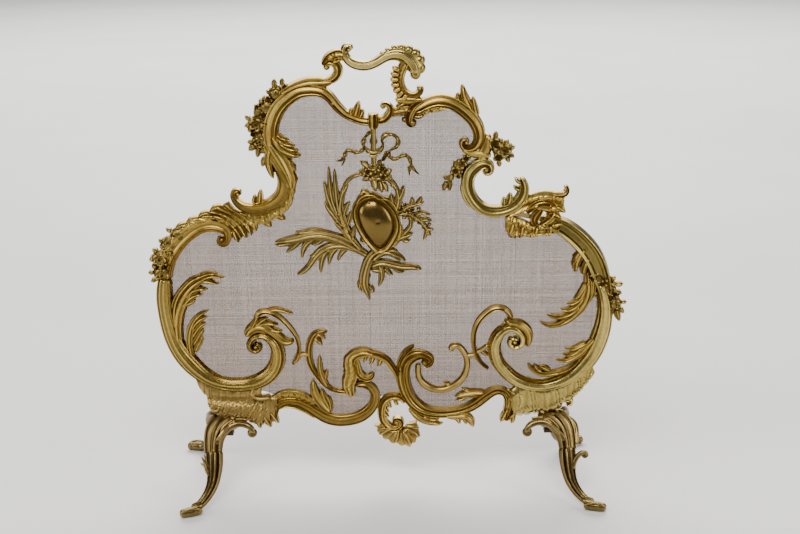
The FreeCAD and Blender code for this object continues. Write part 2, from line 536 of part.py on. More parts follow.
def front_leg():
    depth = V(0, 1, 0)
    inner = leg_bar([(268, -30, 94, 14, 12), (252, -26, 100, 12, 11), (238, -25, 101, 11, 10),
                     (225, -28, 98, 10, 9)], depth)
    side = leg_bar([(288, -60, 60, 9, 8), (300, -62, 69, 8, 7), (309, -63, 72, 7, 6)], depth)
    return joined([leg_bar(CABRIOLE), toe(), inner, Part.makeSphere(6.5, V(223, -30, 96.5)), side,
                   Part.makeSphere(5, V(309, -63, 71))])


def rear_leg():
    """the rear leg with the round boss that both legs spring from"""
    hub = Part.makeCylinder(HUB_RADIUS, HUB_TOP - HUB_BOTTOM, V(FOOT_X, 0, HUB_BOTTOM))
    leg = joined([leg_bar(CABRIOLE), toe()]).mirror(V(0, 0, 0), V(0, 1, 0))
    return joined([leg, hub])


def to_left(shape):
    """the same casting for the left side, turned about its bolt"""
    turned = shape.mirror(V(0, 0, 0), V(1, 0, 0))
    turned.rotate(V(-FOOT_X, 0, 0), V(0, 0, 1), LEFT_FOOT_TURN)
    return turned


add("leg_rear_right", rear_leg())
add("leg_rear_left", to_left(rear_leg()))
add("leg_front_right", front_leg())
add("leg_front_left", to_left(front_leg()))

# ---- trophy ----
add("trophy_rod", joined([
    Part.makeCylinder(4, 44, V(-17, -4.2, 538)),
    Part.makeCylinder(4.8, 5, V(-17, -5.4, 578))]))
add("trophy_ribbon", joined([
    blade([(-20, 574, 3), (-30, 567, 5), (-33, 558, 5), (-30, 550, 5), (-21, 544, 6), (-13, 543, 6), (-4, 549, 5),
           (-3, 561, 5), (2, 569, 5), (12, 570, 5), (19, 563, 5), (19, 554, 5), (11, 549, 5), (4, 545, 5),
           (6, 537, 5), (13, 533, 6), (22, 536, 5), (30, 539, 5), (37, 534, 5), (38, 526, 5), (44, 517, 4),
           (50, 511, 2)], 5),
    blade([(-34, 548, 5), (-44, 544, 5), (-53, 548, 5), (-59, 540, 5), (-64, 528, 2)], 5),
    blade([(-59, 540, 4), (-70, 533, 2)], 5),
    blade([(38, 526, 5), (35, 511, 3)], 5),
    blade([(4, 537, 5), (-3, 531, 3)], 5)]))
add("trophy_flowers", joined([
    flower(-15, 512, 14, 14), flower(-4, 503, 8, 10), flower(-27, 520, 8, 10), flower(-2, 519, 8, 11),
    bud(-24, 520, -36, 533, 7), bud(0, 516, 9, 514, 7), bud(-22, 506, -34, 501, 7),
    bud(-14, 502, -6, 488, 8),
    blade([(-26, 509, 4), (-45, 508, 4), (-56, 501, 4), (-62, 491, 4), (-66, 476, 5)], 5),
    blade([(-18, 506, 6), (-17, 490, 7), (-10, 478, 5)], 6),
    blade([(-3, 505, 5), (9, 495, 4), (17, 487, 4)], 5)]))

RIM_OUTSIDE = [(-16, 481), (-32, 478), (-44, 470), (-49.5, 458), (-48, 443), (-42, 429), (-33, 416), (-25, 404),
               (-26, 390), (-14, 386), (2, 391), (12, 404), (19, 419), (21, 434), (17, 449), (9, 463), (-2, 474)]


def scaled(outline, centre, factor):
    return [(centre[0] + (x - centre[0]) * factor, centre[1] + (z - centre[1]) * factor) for x, z in outline]


def loop_wire(outline, y):
    curve = smooth_line(outline, True)
    wire = Part.Wire([curve.toShape()])
    wire.translate(V(0, y, 0))
    return wire


def heart(factor, front, back=0.0, crown=0.9):
    """a heart-shaped boss inside the rim's outline"""
    centre = (-17, 438)
    low = loop_wire(scaled(RIM_OUTSIDE, centre, factor), back)
    high = loop_wire(scaled(RIM_OUTSIDE, centre, factor * crown), front)
    return Part.makeLoft([low, high], True, True)


add("cartouche_dome", joined([heart(0.80, -7), heart(0.70, -10, -7, 0.75), heart(0.5, -11.5, -10, 0.6)]))
add("cartouche_rim", joined([
    heart(1.0, -10, 0, 0.88),
    blade([(-33, 482, 6), (-28, 482, 6), (-22, 478, 6)], 12),
    disc(-32, 405, 5, 10)]))
add("palm_branch", joined([
    blade([(-38, 390, 9), (-52, 408, 13), (-63, 426, 16), (-68, 444, 16), (-69, 462, 12), (-66, 482, 9),
           (-60, 494, 4)], 9),
    blade([(-70, 450, 8), (-74, 478, 8), (-75, 500, 6), (-75.5, 514, 2)], 7),
    blade([(-74, 452, 8), (-81, 478, 7), (-83.5, 500, 6), (-84, 520, 2)], 7),
    blade([(-70, 440, 8), (-82, 466, 7), (-89, 484, 5), (-92, 496, 2)], 7),
    blade([(-64, 430, 8), (-77, 446, 7), (-87, 456, 6), (-92, 464, 2)], 7),
    blade([(-66, 470, 6), (-62, 480, 6), (-54, 490, 2)], 6),
    blade([(-62, 446, 6), (-60, 456, 5), (-56, 464, 2)], 6),
    flower(-64, 426, 7, 11)]))
add("trophy_acanthus_left", joined([
    blade([(-32, 386, 8), (-48, 400, 10), (-66, 409, 12), (-84, 416, 13), (-101, 418, 14), (-118, 415, 13),
           (-136, 410, 11), (-153, 407, 7), (-166, 404, 2)], 9),
    blade([(-100, 420, 8), (-118, 421, 7), (-136, 420.5, 2)], 7),
    blade([(-132, 412, 8), (-150, 411, 6), (-163, 410, 2)], 7),
    blade([(-112, 414, 8), (-126, 402, 6), (-128, 381, 2)], 6),
    blade([(-130, 408, 7), (-142, 400, 5), (-152, 391, 2)], 6),
    blade([(-44, 396, 7), (-66, 399, 9), (-88, 398, 9), (-101, 391, 9), (-110, 378, 8), (-121, 364, 6),
           (-135, 355, 2)], 8),
    blade([(-92, 396, 7), (-101, 380, 6), (-101, 358, 2)], 6),
    blade([(-76, 398, 6), (-86, 386, 5), (-88, 371, 2)], 6),
    blade([(-58, 398, 6), (-70, 388, 5), (-73, 378, 2)], 6)]))
add("trophy_flower_branch", joined([
    blade([(18, 444, 5), (34, 445, 6), (50, 436, 6), (60, 423, 6), (69, 409, 2)], 6),
    blade([(16, 452, 5), (18, 464, 6), (15, 478, 6), (14, 490, 2)], 7),
    blade([(16, 476, 6), (22, 484, 5), (27, 492, 2)], 6),
    blade([(19, 452, 5), (36, 460, 7), (48, 465, 5), (57, 468, 2)], 6),
    blade([(38, 461, 5), (40, 473, 2)], 6),
    blade([(44, 439, 5), (64, 444, 2)], 6),
    blade([(48, 434, 6), (64, 436, 2)], 6),
    blade([(30, 444, 5), (37, 434, 5), (36, 424, 2)], 6),
    blade([(18, 432, 5), (28, 418, 7), (39, 420, 2)], 6),
    blade([(22, 424, 5), (26, 415, 5), (30, 411, 2)], 6),
    flower(22, 456, 6, 9), flower(46, 444, 5.5, 9), flower(54, 428, 5, 8), flower(40, 463, 4.5, 8)]))
add("trophy_stem", joined([
    blade([(-16, 390, 9), (-23, 382, 12), (-30, 368, 13), (-34, 350, 14), (-33, 334, 13), (-29, 313, 3)], 9),
    blade([(-24, 374, 8), (-12, 386, 8), (3, 388, 9), (14, 385, 7), (23, 376, 3)], 9),
    blade([(-26, 368, 9), (-8, 368, 9), (10, 364, 10), (30, 363, 9), (47, 361, 3)], 9),
    blade([(-10, 368, 8), (-8, 352, 6), (-13, 334, 2)], 7),
    blade([(-28, 356, 7), (-16, 360, 6), (-8, 359, 2)], 7),
    blade([(8, 384, 7), (17, 378, 3)], 7)]))

# ---- wire cloth, its retaining strips and the trophy's fixings ----
CLOTH_EDGE = [
    (-164, 560), (-166, 585), (-157, 608), (-140, 627), (-110, 636), (-86, 630), (-66, 609), (-45, 596),
    (-20, 591), (6, 599), (30, 607), (52, 613), (75, 620), (100, 616), (122, 602), (136, 584), (140, 566),
    (141, 545), (133, 524), (125, 506), (125, 488), (131, 472), (142, 460), (160, 452), (180, 452), (200, 444),
    (216, 436), (236, 433), (258, 429), (282, 416), (303, 396), (318, 374), (328, 350), (334, 325), (337, 300),
    (337, 270), (332, 245), (321, 216), (302, 190), (280, 173), (250, 164), (222, 163), (204, 156), (188, 153),
    (170, 154), (150, 141), (126, 125), (100, 118), (70, 119), (48, 129), (34, 146), (18, 151), (0, 149),
    (-14, 143), (-24, 129), (-40, 114), (-62, 107), (-88, 108), (-110, 118), (-130, 130), (-150, 139),
    (-172, 144), (-192, 154), (-214, 160), (-240, 169), (-268, 173), (-295, 188), (-316, 210), (-331, 236),
    (-340, 262), (-344, 290), (-345, 320), (-341, 352), (-332, 382), (-316, 404), (-297, 421), (-272, 433),
    (-248, 436), (-225, 434), (-205, 439), (-180, 450), (-160, 464), (-151, 482), (-149, 502), (-151, 522),
    (-158, 541)]


def wire_cloth():
    """the cloth runs to the middle of the mouldings and is flat, against their backs"""
    face = Part.Face(loop_wire(CLOTH_EDGE, 0))
    return face.extrude(V(0, CLOTH_THICKNESS, 0))


TROPHY_STUDS = [(-17, 560), (-17, 438), (-90, 416), (-30, 350), (44, 444)]


def trophy_stud(x, z):
    """a stud through the cloth with a washer and a nut behind"""
    shank = Part.makeCylinder(1.5, 7, V(x, -2, z), V(0, 1, 0))
    washer = Part.makeCylinder(6, 0.8, V(x, CLOTH_BACK, z), V(0, 1, 0))
    nut = Part.makeCylinder(3, 2.4, V(x, CLOTH_BACK + 0.8, z), V(0, 1, 0))
    return joined([shank, washer, nut])


def holes(places, radius):
    return [Part.makeCylinder(radius, 12, V(x, -3, z), V(0, 1, 0)) for x, z in places]


def add_cloth():
    """only the screws and studs pass through the cloth"""
    cloth = wire_cloth()
    screws = [(p.x, p.z) for p in strip_screw_places()]
    parts.append(("wire_cloth", cloth.cut(holes(screws + TROPHY_STUDS, SCREW_RADIUS))))


def add_strips():
    screws = holes([(p.x, p.z) for p in strip_screw_places()], SCREW_RADIUS)
    bars = [moulding([(x, z, STRIP_WIDTH) for x, z in line], STRIP_THICKNESS, FLAT, STRIP_BACK)
            for line in STRIPS.values()]
    parts.append(("retaining_strips", Part.makeCompound([bar.cut(screws).Solids[0] for bar in bars])))


add_group("trophy_studs", [trophy_stud(x, z) for x, z in TROPHY_STUDS])
add_cloth()
add_strips()

# ---- written out, centred over the origin ----
os.makedirs("parts", exist_ok=True)
for name, shape in parts:
    shape.translate(V(CENTRE_SHIFT_X, CENTRE_SHIFT_Y, 0))
    shape.exportStep(os.path.join("parts", name + ".step"))
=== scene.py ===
import itertools
import bpy
import numpy as np
from mathutils import Matrix, Vector


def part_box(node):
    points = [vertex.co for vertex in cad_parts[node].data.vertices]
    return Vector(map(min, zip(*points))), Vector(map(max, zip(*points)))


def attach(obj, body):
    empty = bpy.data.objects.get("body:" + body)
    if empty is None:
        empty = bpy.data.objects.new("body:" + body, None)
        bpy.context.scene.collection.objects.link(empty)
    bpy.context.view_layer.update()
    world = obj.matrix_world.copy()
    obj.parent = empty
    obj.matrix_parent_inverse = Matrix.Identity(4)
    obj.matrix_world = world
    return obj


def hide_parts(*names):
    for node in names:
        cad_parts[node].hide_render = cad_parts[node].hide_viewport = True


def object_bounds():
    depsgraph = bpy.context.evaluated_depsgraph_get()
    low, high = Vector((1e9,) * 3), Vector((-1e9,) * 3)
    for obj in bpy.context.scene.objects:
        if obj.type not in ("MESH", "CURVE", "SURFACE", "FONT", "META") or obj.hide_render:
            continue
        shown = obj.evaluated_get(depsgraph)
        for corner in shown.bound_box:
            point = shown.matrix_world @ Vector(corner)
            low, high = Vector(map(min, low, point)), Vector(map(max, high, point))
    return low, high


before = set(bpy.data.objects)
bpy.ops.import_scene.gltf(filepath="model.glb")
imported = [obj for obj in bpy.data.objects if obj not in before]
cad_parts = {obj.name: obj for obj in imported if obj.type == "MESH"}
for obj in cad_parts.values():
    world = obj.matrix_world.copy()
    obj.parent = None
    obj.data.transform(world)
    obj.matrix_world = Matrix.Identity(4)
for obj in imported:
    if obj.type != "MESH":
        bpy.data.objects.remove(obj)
cad_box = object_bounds()

# The castings are drawn in millimetres on the founder's own zero: the middle line of the screen, the front
# face of the wire cloth and the floor. Two boxes of the frame say where that zero is.
ZERO = np.array([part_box("crest_clasp")[0].x * 1000 + 23.0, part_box("wire_cloth")[0].y * 1000, 0.0])


# ---------------------------------------------------------------- lines
def cubic(knots, values, at):
    """natural cubic through values at knots: the second derivatives solve the usual three-term rows,
    and each span is the straight line plus the two cubic terms they weigh"""
    n, h = len(knots), np.diff(knots)
    rows = np.arange(1, n - 1)
    matrix = np.zeros((n, n))
    matrix[0, 0] = matrix[-1, -1] = 1
    matrix[rows, rows - 1] = h[:-1]
    matrix[rows, rows] = 2 * (h[:-1] + h[1:])
    matrix[rows, rows + 1] = h[1:]
    right = np.zeros_like(values)
    slope = np.diff(values, axis=0) / h[:, None]
    right[1:-1] = 6 * np.diff(slope, axis=0)
    second = np.linalg.solve(matrix, right)
    i = np.clip(np.searchsorted(knots, at, side="right") - 1, 0, n - 2)
    t, hi = (at - knots[i])[:, None], h[i][:, None]
    return (values[i] + t * (slope[i] - hi * (2 * second[i] + second[i + 1]) / 6)
            + t ** 2 * second[i] / 2 + t ** 3 * (second[i + 1] - second[i]) / (6 * hi))


def dense(points, place=2, closed=False, fine=24):
    """a smooth line through points, sampled densely; the first `place` columns are a position"""
    p = np.array(points, float)
    if closed:
        p = np.vstack([p[-4:], p, p[:4]])
    gap = np.linalg.norm(np.diff(p[:, :place], axis=0), axis=1)
    knots = np.r_[0, np.cumsum(np.sqrt(gap))]
    at = np.interp(np.arange(fine * (len(p) - 1) + 1) / fine, np.arange(len(p)), knots)
    line = cubic(knots, p, at)
    if closed:
        line = line[4 * fine:-3 * fine]
    return line


def run(line, place=2):
    """distance along a line at each of its points"""
    return np.r_[0, np.cumsum(np.linalg.norm(np.diff(line[:, :place], axis=0), axis=1))]


def at_distances(line, distances, place=2):
    far = run(line, place)
    return np.stack([np.interp(distances, far, column) for column in line.T], 1)


def stations(length, step, reach):
    """distances along a bar: even steps, closer together in the rounded ends"""
    even = np.linspace(0, length, max(4, int(length / step)) + 1)
    ends = np.array([0.0, 0.02, 0.07, 0.16, 0.3, 0.5, 0.75])
    near = np.r_[ends * reach[0], length - ends * reach[1]]
    inner = even[(even > reach[0]) & (even < length - reach[1])]
    return np.unique(np.clip(np.r_[near, inner], 0, length))


LEAST = 0.6                     # mm: the least width of a moulding and the shortest rounded end


def unit(v):
    return v / np.maximum(np.linalg.norm(v, axis=-1, keepdims=True), 1e-9)


# ---------------------------------------------------------------- moulding sections
def section(*knots):
    """height over the width: it eases from each crest or trough (u, h) to the next by 3t^2 - 2t^3"""
    us, hs = np.array(knots, float).T

    def height(u):
        i = np.clip(np.searchsorted(us, u, side="right") - 1, 0, len(us) - 2)
        t = (u - us[i]) / (us[i + 1] - us[i])
        t = t * t * (3 - 2 * t)
        round_off = np.clip(1 - np.abs(u) ** 10, 0, 1) ** 0.5
        return (hs[i] + (hs[i + 1] - hs[i]) * t) * round_off
    return height


def roll(u):
    """half round"""
    return np.clip(1 - np.abs(u) ** 2.3, 0, 1) ** 0.5


FINE_FLUTES = section((-1, .34), (-.88, .6), (-.74, .5), (-.42, .9), (-.28, .84), (.08, 1), (.26, .92),
    (.5, .84), (.64, .7), (.8, .62), (1, .3))
BROAD = section((-1, .3), (-.92, .52), (-.8, .4), (-.45, .9), (.05, 1), (.5, .86), (.78, .48), (.9, .4),
    (1, .3))
THREE_REEDS = section((-1, .3), (-.85, .66), (-.72, .54), (-.52, .84), (-.34, .66), (.1, 1), (.4, .9),
    (.58, .7), (.78, .78), (1, .3))
TWO_REEDS = section((-1, .3), (-.72, .84), (-.38, .58), (.14, 1), (.5, .76), (.76, .76), (1, .3))
HOLLOW = section((-1, .4), (-.8, 1), (-.62, .8), (-.3, .36), (.15, .3), (.52, .5), (.72, .88), (.88, .66),
    (1, .3))
SCOOP = section((-1, .4), (-.84, .86), (-.66, .52), (-.2, .46), (.3, .62), (.62, 1), (.78, .6), (.9, .62),
    (1, .3))
LEAF = section((-1, .15), (-.7, .68), (-.5, .64), (-.04, 1), (.08, .98), (.52, .64), (.72, .68), (1, .15))
CUPPED = section((-1, .3), (-.82, .85), (-.4, .42), (0, .6), (.4, .42), (.82, .85), (1, .3))
FLAT_BAND = section((-1, .6), (-.8, .9), (0, 1), (.8, .9), (1, .6))


# ---------------------------------------------------------------- shapes: each gives closed rings of points
def end_cap(d, length, reach):
    """share of the full section: at each end it grows as a quarter circle over its reach"""
    grown = [1 - (1 - np.clip(e / r, 0, 1)) ** 2 for e, r in ((d, reach[0]), (length - d, reach[1]))]
    return np.minimum(*[np.sqrt(np.clip(g, 0, 1)) for g in grown])[:, None]


def across(lanes):
    """places over a width from -1 to 1, closer together near the edges, where the section is steep"""
    return np.sin(np.linspace(-np.pi / 2, np.pi / 2, lanes))


def closed_behind(front, lanes):
    """the front surface's points with a row of points behind, from its last edge back to its first"""
    v = np.linspace(1, -1, lanes)[None, 1:-1, None]
    return front[:, -1:, :] * (1 + v) / 2 + front[:, :1, :] * (1 - v) / 2


def bar(points, form=roll, relief=13.0, back=0.0, step=2.4, lanes=37, point=(0.5, 0.5), lift=0.0,
        teeth=(0, 0, 0.0), ribs=(0, 0.0, 0.0), thin=0.45):
    """a moulding carried along the smooth line through (x, z, width) points. Across it the height is
    form(u); width and height close at both ends by a quarter circle of `point` widths; the far end lifts
    forward by the square of the way; teeth (left count, right count, size) swell the edges like a saw;
    ribs (count, depth, slant) dip the height as 1 - cos; thin is the least share of the relief"""
    line = dense(points)
    far = run(line)
    reach = (max(line[0, 2] * point[0], LEAST), max(line[-1, 2] * point[1], LEAST))
    d = stations(far[-1], step, reach)
    line = at_distances(line, d)
    go = unit(np.gradient(line[:, :2], d, axis=0))
    s = (d / far[-1])[:, None]
    cap = end_cap(d, far[-1], reach)
    width = np.maximum(line[:, 2], LEAST)
    half = (width[:, None] / 2) * cap
    tall = relief * (thin + (1 - thin) * np.minimum(1, width / (0.6 * width.max())))[:, None] * cap
    u = across(lanes)[None, :]
    h = form(u) * (1 - ribs[1] * (0.5 - 0.5 * np.cos(2 * np.pi * (ribs[0] * s + ribs[2] * u))))
    climb = 0.8
    saw = [np.where(t < climb, (t / climb) ** climb, (1 - t) / (1 - climb))
           for t in ((n * s) % 1 for n in teeth[:2])]
    swell = 1 + teeth[2] * np.abs(u) ** 3 * np.where(u < 0, saw[0] * (teeth[0] > 0), saw[1] * (teeth[1] > 0))
    rise = lift * s ** 2
    front = np.stack([line[:, :1] - go[:, 1:] * u * half * swell, back - rise - tall * h,
                      line[:, 1:2] + go[:, :1] * u * half * swell], -1)
    edge = closed_behind(front, 7)
    edge[..., 1] = back - rise * 0.8
    return np.concatenate([front, edge], 1)


def leaf(points, relief=8.0, lift=3.0, **how):
    """one finger of a leaf: veined, pointed at the tip, its tip lifting forward; it is cut a little
    wider than its points say"""
    kept = dict(form=LEAF, step=2.0, lanes=25, point=(0.5, 1.6), thin=0.35)
    kept.update(how)
    return bar([(x, z, 1.12 * width + 1.2) for x, z, width in points], relief=relief, lift=lift, **kept)


def leaves(relief, lift, *lines):
    """fingers of one relief and lift"""
    return [leaf(line, relief, lift) for line in lines]


def spiral(points, centre, turns, tail=0.55, inner=2.0, at_start=False):
    """points carried on round centre by a spiral whose radius shrinks evenly from the last point's to
    inner, and whose width shrinks to a share of the last one's; turns is negative for clockwise;
    at_start winds up the first end instead"""
    if at_start:
        return spiral(points[::-1], centre, turns, tail, inner)[::-1]
    x, z, width = points[-1]
    away = np.hypot(x - centre[0], z - centre[1])
    start = np.arctan2(z - centre[1], x - centre[0])
    share = np.linspace(0, 1, max(4, int(abs(turns) * 8)))[1:]
    angle = start + turns * 2 * np.pi * share
    radius = away + (inner - away) * share
    more = np.stack([centre[0] + radius * np.cos(angle), centre[1] + radius * np.sin(angle),
                     width * (1 + (tail - 1) * share)], 1)
    return list(points) + [tuple(row) for row in more]


def knob(x, z, radius, tall, back=0.0):
    """a boss: half of an ellipsoid on the plane, as an angle down from its top and one round it"""
    down = np.linspace(0.04, np.pi / 2, 10)[:, None]
    turn = np.linspace(0, 2 * np.pi, 28, endpoint=False)[None, :]
    r = radius * np.sin(down)
    return np.stack([x + r * np.cos(turn), back - tall * np.cos(down) + 0 * turn, z + r * np.sin(turn)], -1)


def knobs(*rows):
    return [knob(*row) for row in rows]


def blossom(x, z, radius, tall, turn=0.3, petals=5):
    """a flower: over the angle t the petals' reach is radius(0.66 + 0.34 |cos|^0.6), their height cups up
    to three quarters of the way out, with a cleft between each two, and a beaded heart stands in the
    middle"""
    rho = np.r_[np.linspace(0.05, 0.3, 5), np.linspace(0.36, 1, 9), 0.97][:, None]
    t = np.linspace(0, 2 * np.pi, 60, endpoint=False)[None, :]
    petal = np.abs(np.cos(petals * t / 2 + turn))
    reach = radius * (0.66 + 0.34 * petal ** 0.6)
    heart = np.exp(-(rho / 0.26) ** 4) * (0.9 + 0.1 * np.cos(9 * t)) * tall
    cup = tall * (0.4 + 0.36 * (0.25 + 0.75 * petal) * np.exp(-((rho - 0.7) / 0.26) ** 2))
    y = np.maximum(heart, cup * (rho > 0.2))
    y[-1] = 0
    y[-2] = tall * 0.22
    return np.stack([x + reach * rho * np.cos(t), -y, z + reach * rho * np.sin(t)], -1)


def blossoms(*rows):
    return [blossom(*row) for row in rows]


def bud(x0, z0, x1, z1, width):
    """a pointed bud from its stalk to its tip"""
    return leaf([(x0, z0, width * .55), ((x0 + x1) / 2, (z0 + z1) / 2, width), (x1, z1, width * .3)],
                step=1.6, lanes=17, point=(0.5, 1.5))


def buds(*rows):
    return [bud(*row) for row in rows]


def spray(x, z, radius, count, seed, length=7.0):
    """leaflets that stand out round a flower, at angles and lengths drawn from a seeded list"""
    draw = np.random.default_rng(seed)
    out = []
    for k in range(count):
        a = 2 * np.pi * (k + draw.uniform(-0.25, 0.25)) / count + seed
        r0, r1 = radius * 0.55, radius + length * draw.uniform(0.2, 0.7)
        bend = draw.uniform(-0.25, 0.25)
        way = ((r0, a, 4.5), ((r0 + r1) / 2, a + bend / 2, 6.5), (r1, a + bend, 2.0))
        out.append(leaf([(x + r * np.cos(b), z + r * np.sin(b), width) for r, b, width in way], 7.0,
                        step=1.8, lanes=15))
    return out


def web(top, bottom, relief, form=FLAT_BAND, ribs=(0, 0.0, 0.0), scallop=0.0, lanes=33, rough=0.0):
    """a panel between two lines: a point is top(s)(1-t) + bottom(s)t, its height form(2t-1) with ribs
    (count, depth, slant) as 1 - |sin| of an uneven phase, whose troughs nick the lower edge by scallop;
    rough adds beaten waves, each sine bent by another"""
    a, b = dense(top), dense(bottom)
    n = int(max(run(a)[-1], run(b)[-1]) / 1.4)
    share = np.linspace(0, 1, n + 1)
    a, b = at_distances(a, share * run(a)[-1]), at_distances(b, share * run(b)[-1])
    t = (0.5 + 0.5 * across(lanes))[None, :]
    s = share[:, None]
    uneven = 0.3 * np.sin(23 * s + 1) + 0.22 * np.sin(47 * s + 2 * t)
    wave = np.abs(np.sin(np.pi * (ribs[0] * s + uneven + ribs[2] * t ** 1.3)))
    reach = t * (1 - scallop * (1 - wave) * t ** 2)
    x = a[:, :1] * (1 - reach) + b[:, :1] * reach
    z = a[:, 1:2] * (1 - reach) + b[:, 1:2] * reach
    beaten = (np.sin(x * 1.1 + 2 * np.sin(z * .7)) + np.sin(z * 1.3 + 2 * np.sin(x * .45))) / 2
    h = form(2 * t - 1) * (1 - ribs[1] * (1 - wave) ** 1.4 + rough * beaten)
    front = np.stack([x, -relief * h, z], -1)
    edge = closed_behind(front, 5)
    edge[..., 1] = 0
    return np.concatenate([front, edge], 1)


def scallop_shell(centre, tips, inner, relief):
    """a fan: rays from centre to an edge through the tips; between two tips the edge and the height dip
    as 1 - |cos|, and the height swells to two thirds of the way out"""
    fine = 9
    edge = dense(tips, fine=fine)
    lobe = np.abs(np.cos(np.pi * np.arange(len(edge)) / fine))
    rho = np.r_[np.linspace(0, 1, 16), 0.995][:, None]
    start = np.array(centre) + unit(edge - np.array(centre)) * inner
    reach = rho * (0.9 + 0.1 * lobe)
    x = start[:, 0] * (1 - reach) + edge[:, 0] * reach
    z = start[:, 1] * (1 - reach) + edge[:, 1] * reach
    h = relief * (0.6 + 0.4 * lobe ** 0.8) * (0.5 + 0.5 * np.sin(np.pi * (0.15 + 0.7 * rho)))
    h[-1] = 0
    front = np.stack([x, -h, z], -1).transpose(1, 0, 2)
    behind = front[:, ::-5, :].copy()[:, 1:-1]
    behind[..., 1] = 0
    return np.concatenate([front, behind], 1)


def limb(points, form=roll, sideways=(1, 0.25, 0), lanes=33, point=(0.5, 0.5)):
    """a bar in space along (x, y, z, width, thickness) points; sideways is the way its width lies, and
    its front, up and outward, is form(u) of the thickness; its underside is a flat half round"""
    line = dense(points, 3)
    far = run(line, 3)
    reach = (max(line[0, 3] * point[0], LEAST), max(line[-1, 3] * point[1], LEAST))
    d = stations(far[-1], 2.2, reach)
    line = at_distances(line, d, 3)
    go = unit(np.gradient(line[:, :3], d, axis=0))
    side = np.array(sideways, float)
    side = unit(side - go * (go @ side)[:, None])
    out = np.cross(go, side)
    out = out * np.where(out[:, 2] < out[:, 1], -1, 1)[:, None]
    cap = end_cap(d, far[-1], reach)
    u = across(lanes)
    v = np.sin(np.linspace(np.pi / 2, -np.pi / 2, 13))[1:-1]
    round_it = np.r_[u, v]
    rise = np.r_[form(u), -0.75 * np.sqrt(1 - v ** 2)]
    half, thick = line[:, 3:4] / 2 * cap, line[:, 4:5] / 2 * cap
    return (line[:, None, :3] + side[:, None, :] * (round_it[None, :] * half)[..., None]
            + out[:, None, :] * (rise[None, :] * thick)[..., None])


def lying_roll(centre, along, radius, half_length):
    """a cushion: rings round an axis, of radius r (1 - |a|^4)^(1/3) with a groove each side of the middle"""
    along = unit(np.array(along, float))
    a = across(33) * 0.999
    side = unit(np.cross(along, [0, 0, 1.0]))
    up = np.cross(side, along)
    r = radius * (1 - np.abs(a) ** 4) ** (1 / 3) * (1 - 0.1 * np.exp(-((np.abs(a) - 0.5) / 0.09) ** 2))
    t = np.linspace(0, 2 * np.pi, 32, endpoint=False)
    ring = np.cos(t)[None, :, None] * side + np.sin(t)[None, :, None] * up
    points = np.array(centre) + (a * half_length)[:, None, None] * along + r[:, None, None] * ring
    points[..., 2] = np.maximum(points[..., 2], 0)
    return points


def moved(rings, mirror=False, turn=0.0, about=(0, 0)):
    """mirrored in the middle line, then turned about an upright line, in degrees"""
    p = rings.copy()
    if mirror:
        p[..., 0] *= -1
    c, s = np.cos(np.radians(turn)), np.sin(np.radians(turn))
    x, y = p[..., 0] - about[0], p[..., 1] - about[1]
    p[..., 0], p[..., 1] = about[0] + c * x - s * y, about[1] + s * x + c * y
    return p


# ---------------------------------------------------------------- meshes
WEAR_AND_SHADE_WHERE_FLAT = 0.56          # the share of a flat face: crests have more, part wear and part painted highlight; troughs less, part dirt and part painted shade
BACK_PAINTED_SHADE = 0.2              # painted shade: what the share loses in the last millimetre before the back
BACK_STEPS = 31
LAID = itertools.count(1)


def curvature(rings, normal, stride, axis):
    """how far the mean of the two points a stride away stands off along the normal, over their distance
    squared; 0.02 keeps it finite where points meet"""
    ahead, behind = np.roll(rings, -stride, axis) - rings, np.roll(rings, stride, axis) - rings
    gap = (np.linalg.norm(ahead, axis=-1) + np.linalg.norm(behind, axis=-1)) ** 2 / 4 + 0.02
    return ((ahead + behind) * normal).sum(-1) / gap


def skin(rings):
    """points, faces and wear-and-shade share of a closed skin over the rings. The share is high on crests,
    part rubbed wear and part painted highlight, and low in troughs, part dirt and part painted shade; it
    falls towards the back edge as painted shade"""
    n, m = rings.shape[:2]
    points = np.vstack([rings.reshape(-1, 3), rings[0].mean(0), rings[-1].mean(0)])
    i, j = np.arange(n - 1)[:, None] * m, np.arange(m)[None, :]
    k = (j + 1) % m
    quads = np.stack([i + j, i + k, i + m + k, i + m + j], -1).reshape(-1, 4)
    a, b = j[0], k[0]
    fans = np.vstack([np.stack([np.full(m, n * m), b, a], 1),
                      np.stack([np.full(m, n * m + 1), (n - 1) * m + a, (n - 1) * m + b], 1)])
    corners = points[np.vstack([quads[:, [0, 1, 2]], quads[:, [0, 2, 3]], fans])]
    volume = np.einsum("ij,ij->i", corners[:, 0], np.cross(corners[:, 1], corners[:, 2])).sum()
    sign = 1 if volume > 0 else -1
    along = np.gradient(rings, axis=0)
    around = np.roll(rings, -1, 1) - np.roll(rings, 1, 1)
    normal = unit(np.cross(around, along)) * sign
    bend = sum(curvature(rings, normal, stride, 1) for stride in (1, 2, 3)) / 3
    lengthwise = curvature(rings, normal, 2, 0)
    lengthwise[:2] = lengthwise[-2:] = 0
    # convex crests get a higher share and concave troughs a lower one: part wear and dirt, part painted
    # highlight and painted shade
    wear_and_shade = np.clip(WEAR_AND_SHADE_WHERE_FLAT - 0.5 * bend - 0.3 * np.clip(lengthwise, -1, 1), 0, 1)
    wear_and_shade = (wear_and_shade + np.roll(wear_and_shade, 1, 1) + np.roll(wear_and_shade, -1, 1)) / 3
    # painted shade: the share drops in the last millimetre before the back
    wear_and_shade -= BACK_PAINTED_SHADE * np.clip(rings[..., 1] - rings[..., 1].max(1, keepdims=True) + 1, 0, 1)
    wear_and_shade = np.clip(wear_and_shade, 0, 1)
    wear_and_shade = np.r_[wear_and_shade.ravel(), wear_and_shade[0].mean(), wear_and_shade[-1].mean()]
    return points, quads[:, ::sign], fans[:, ::sign], wear_and_shade


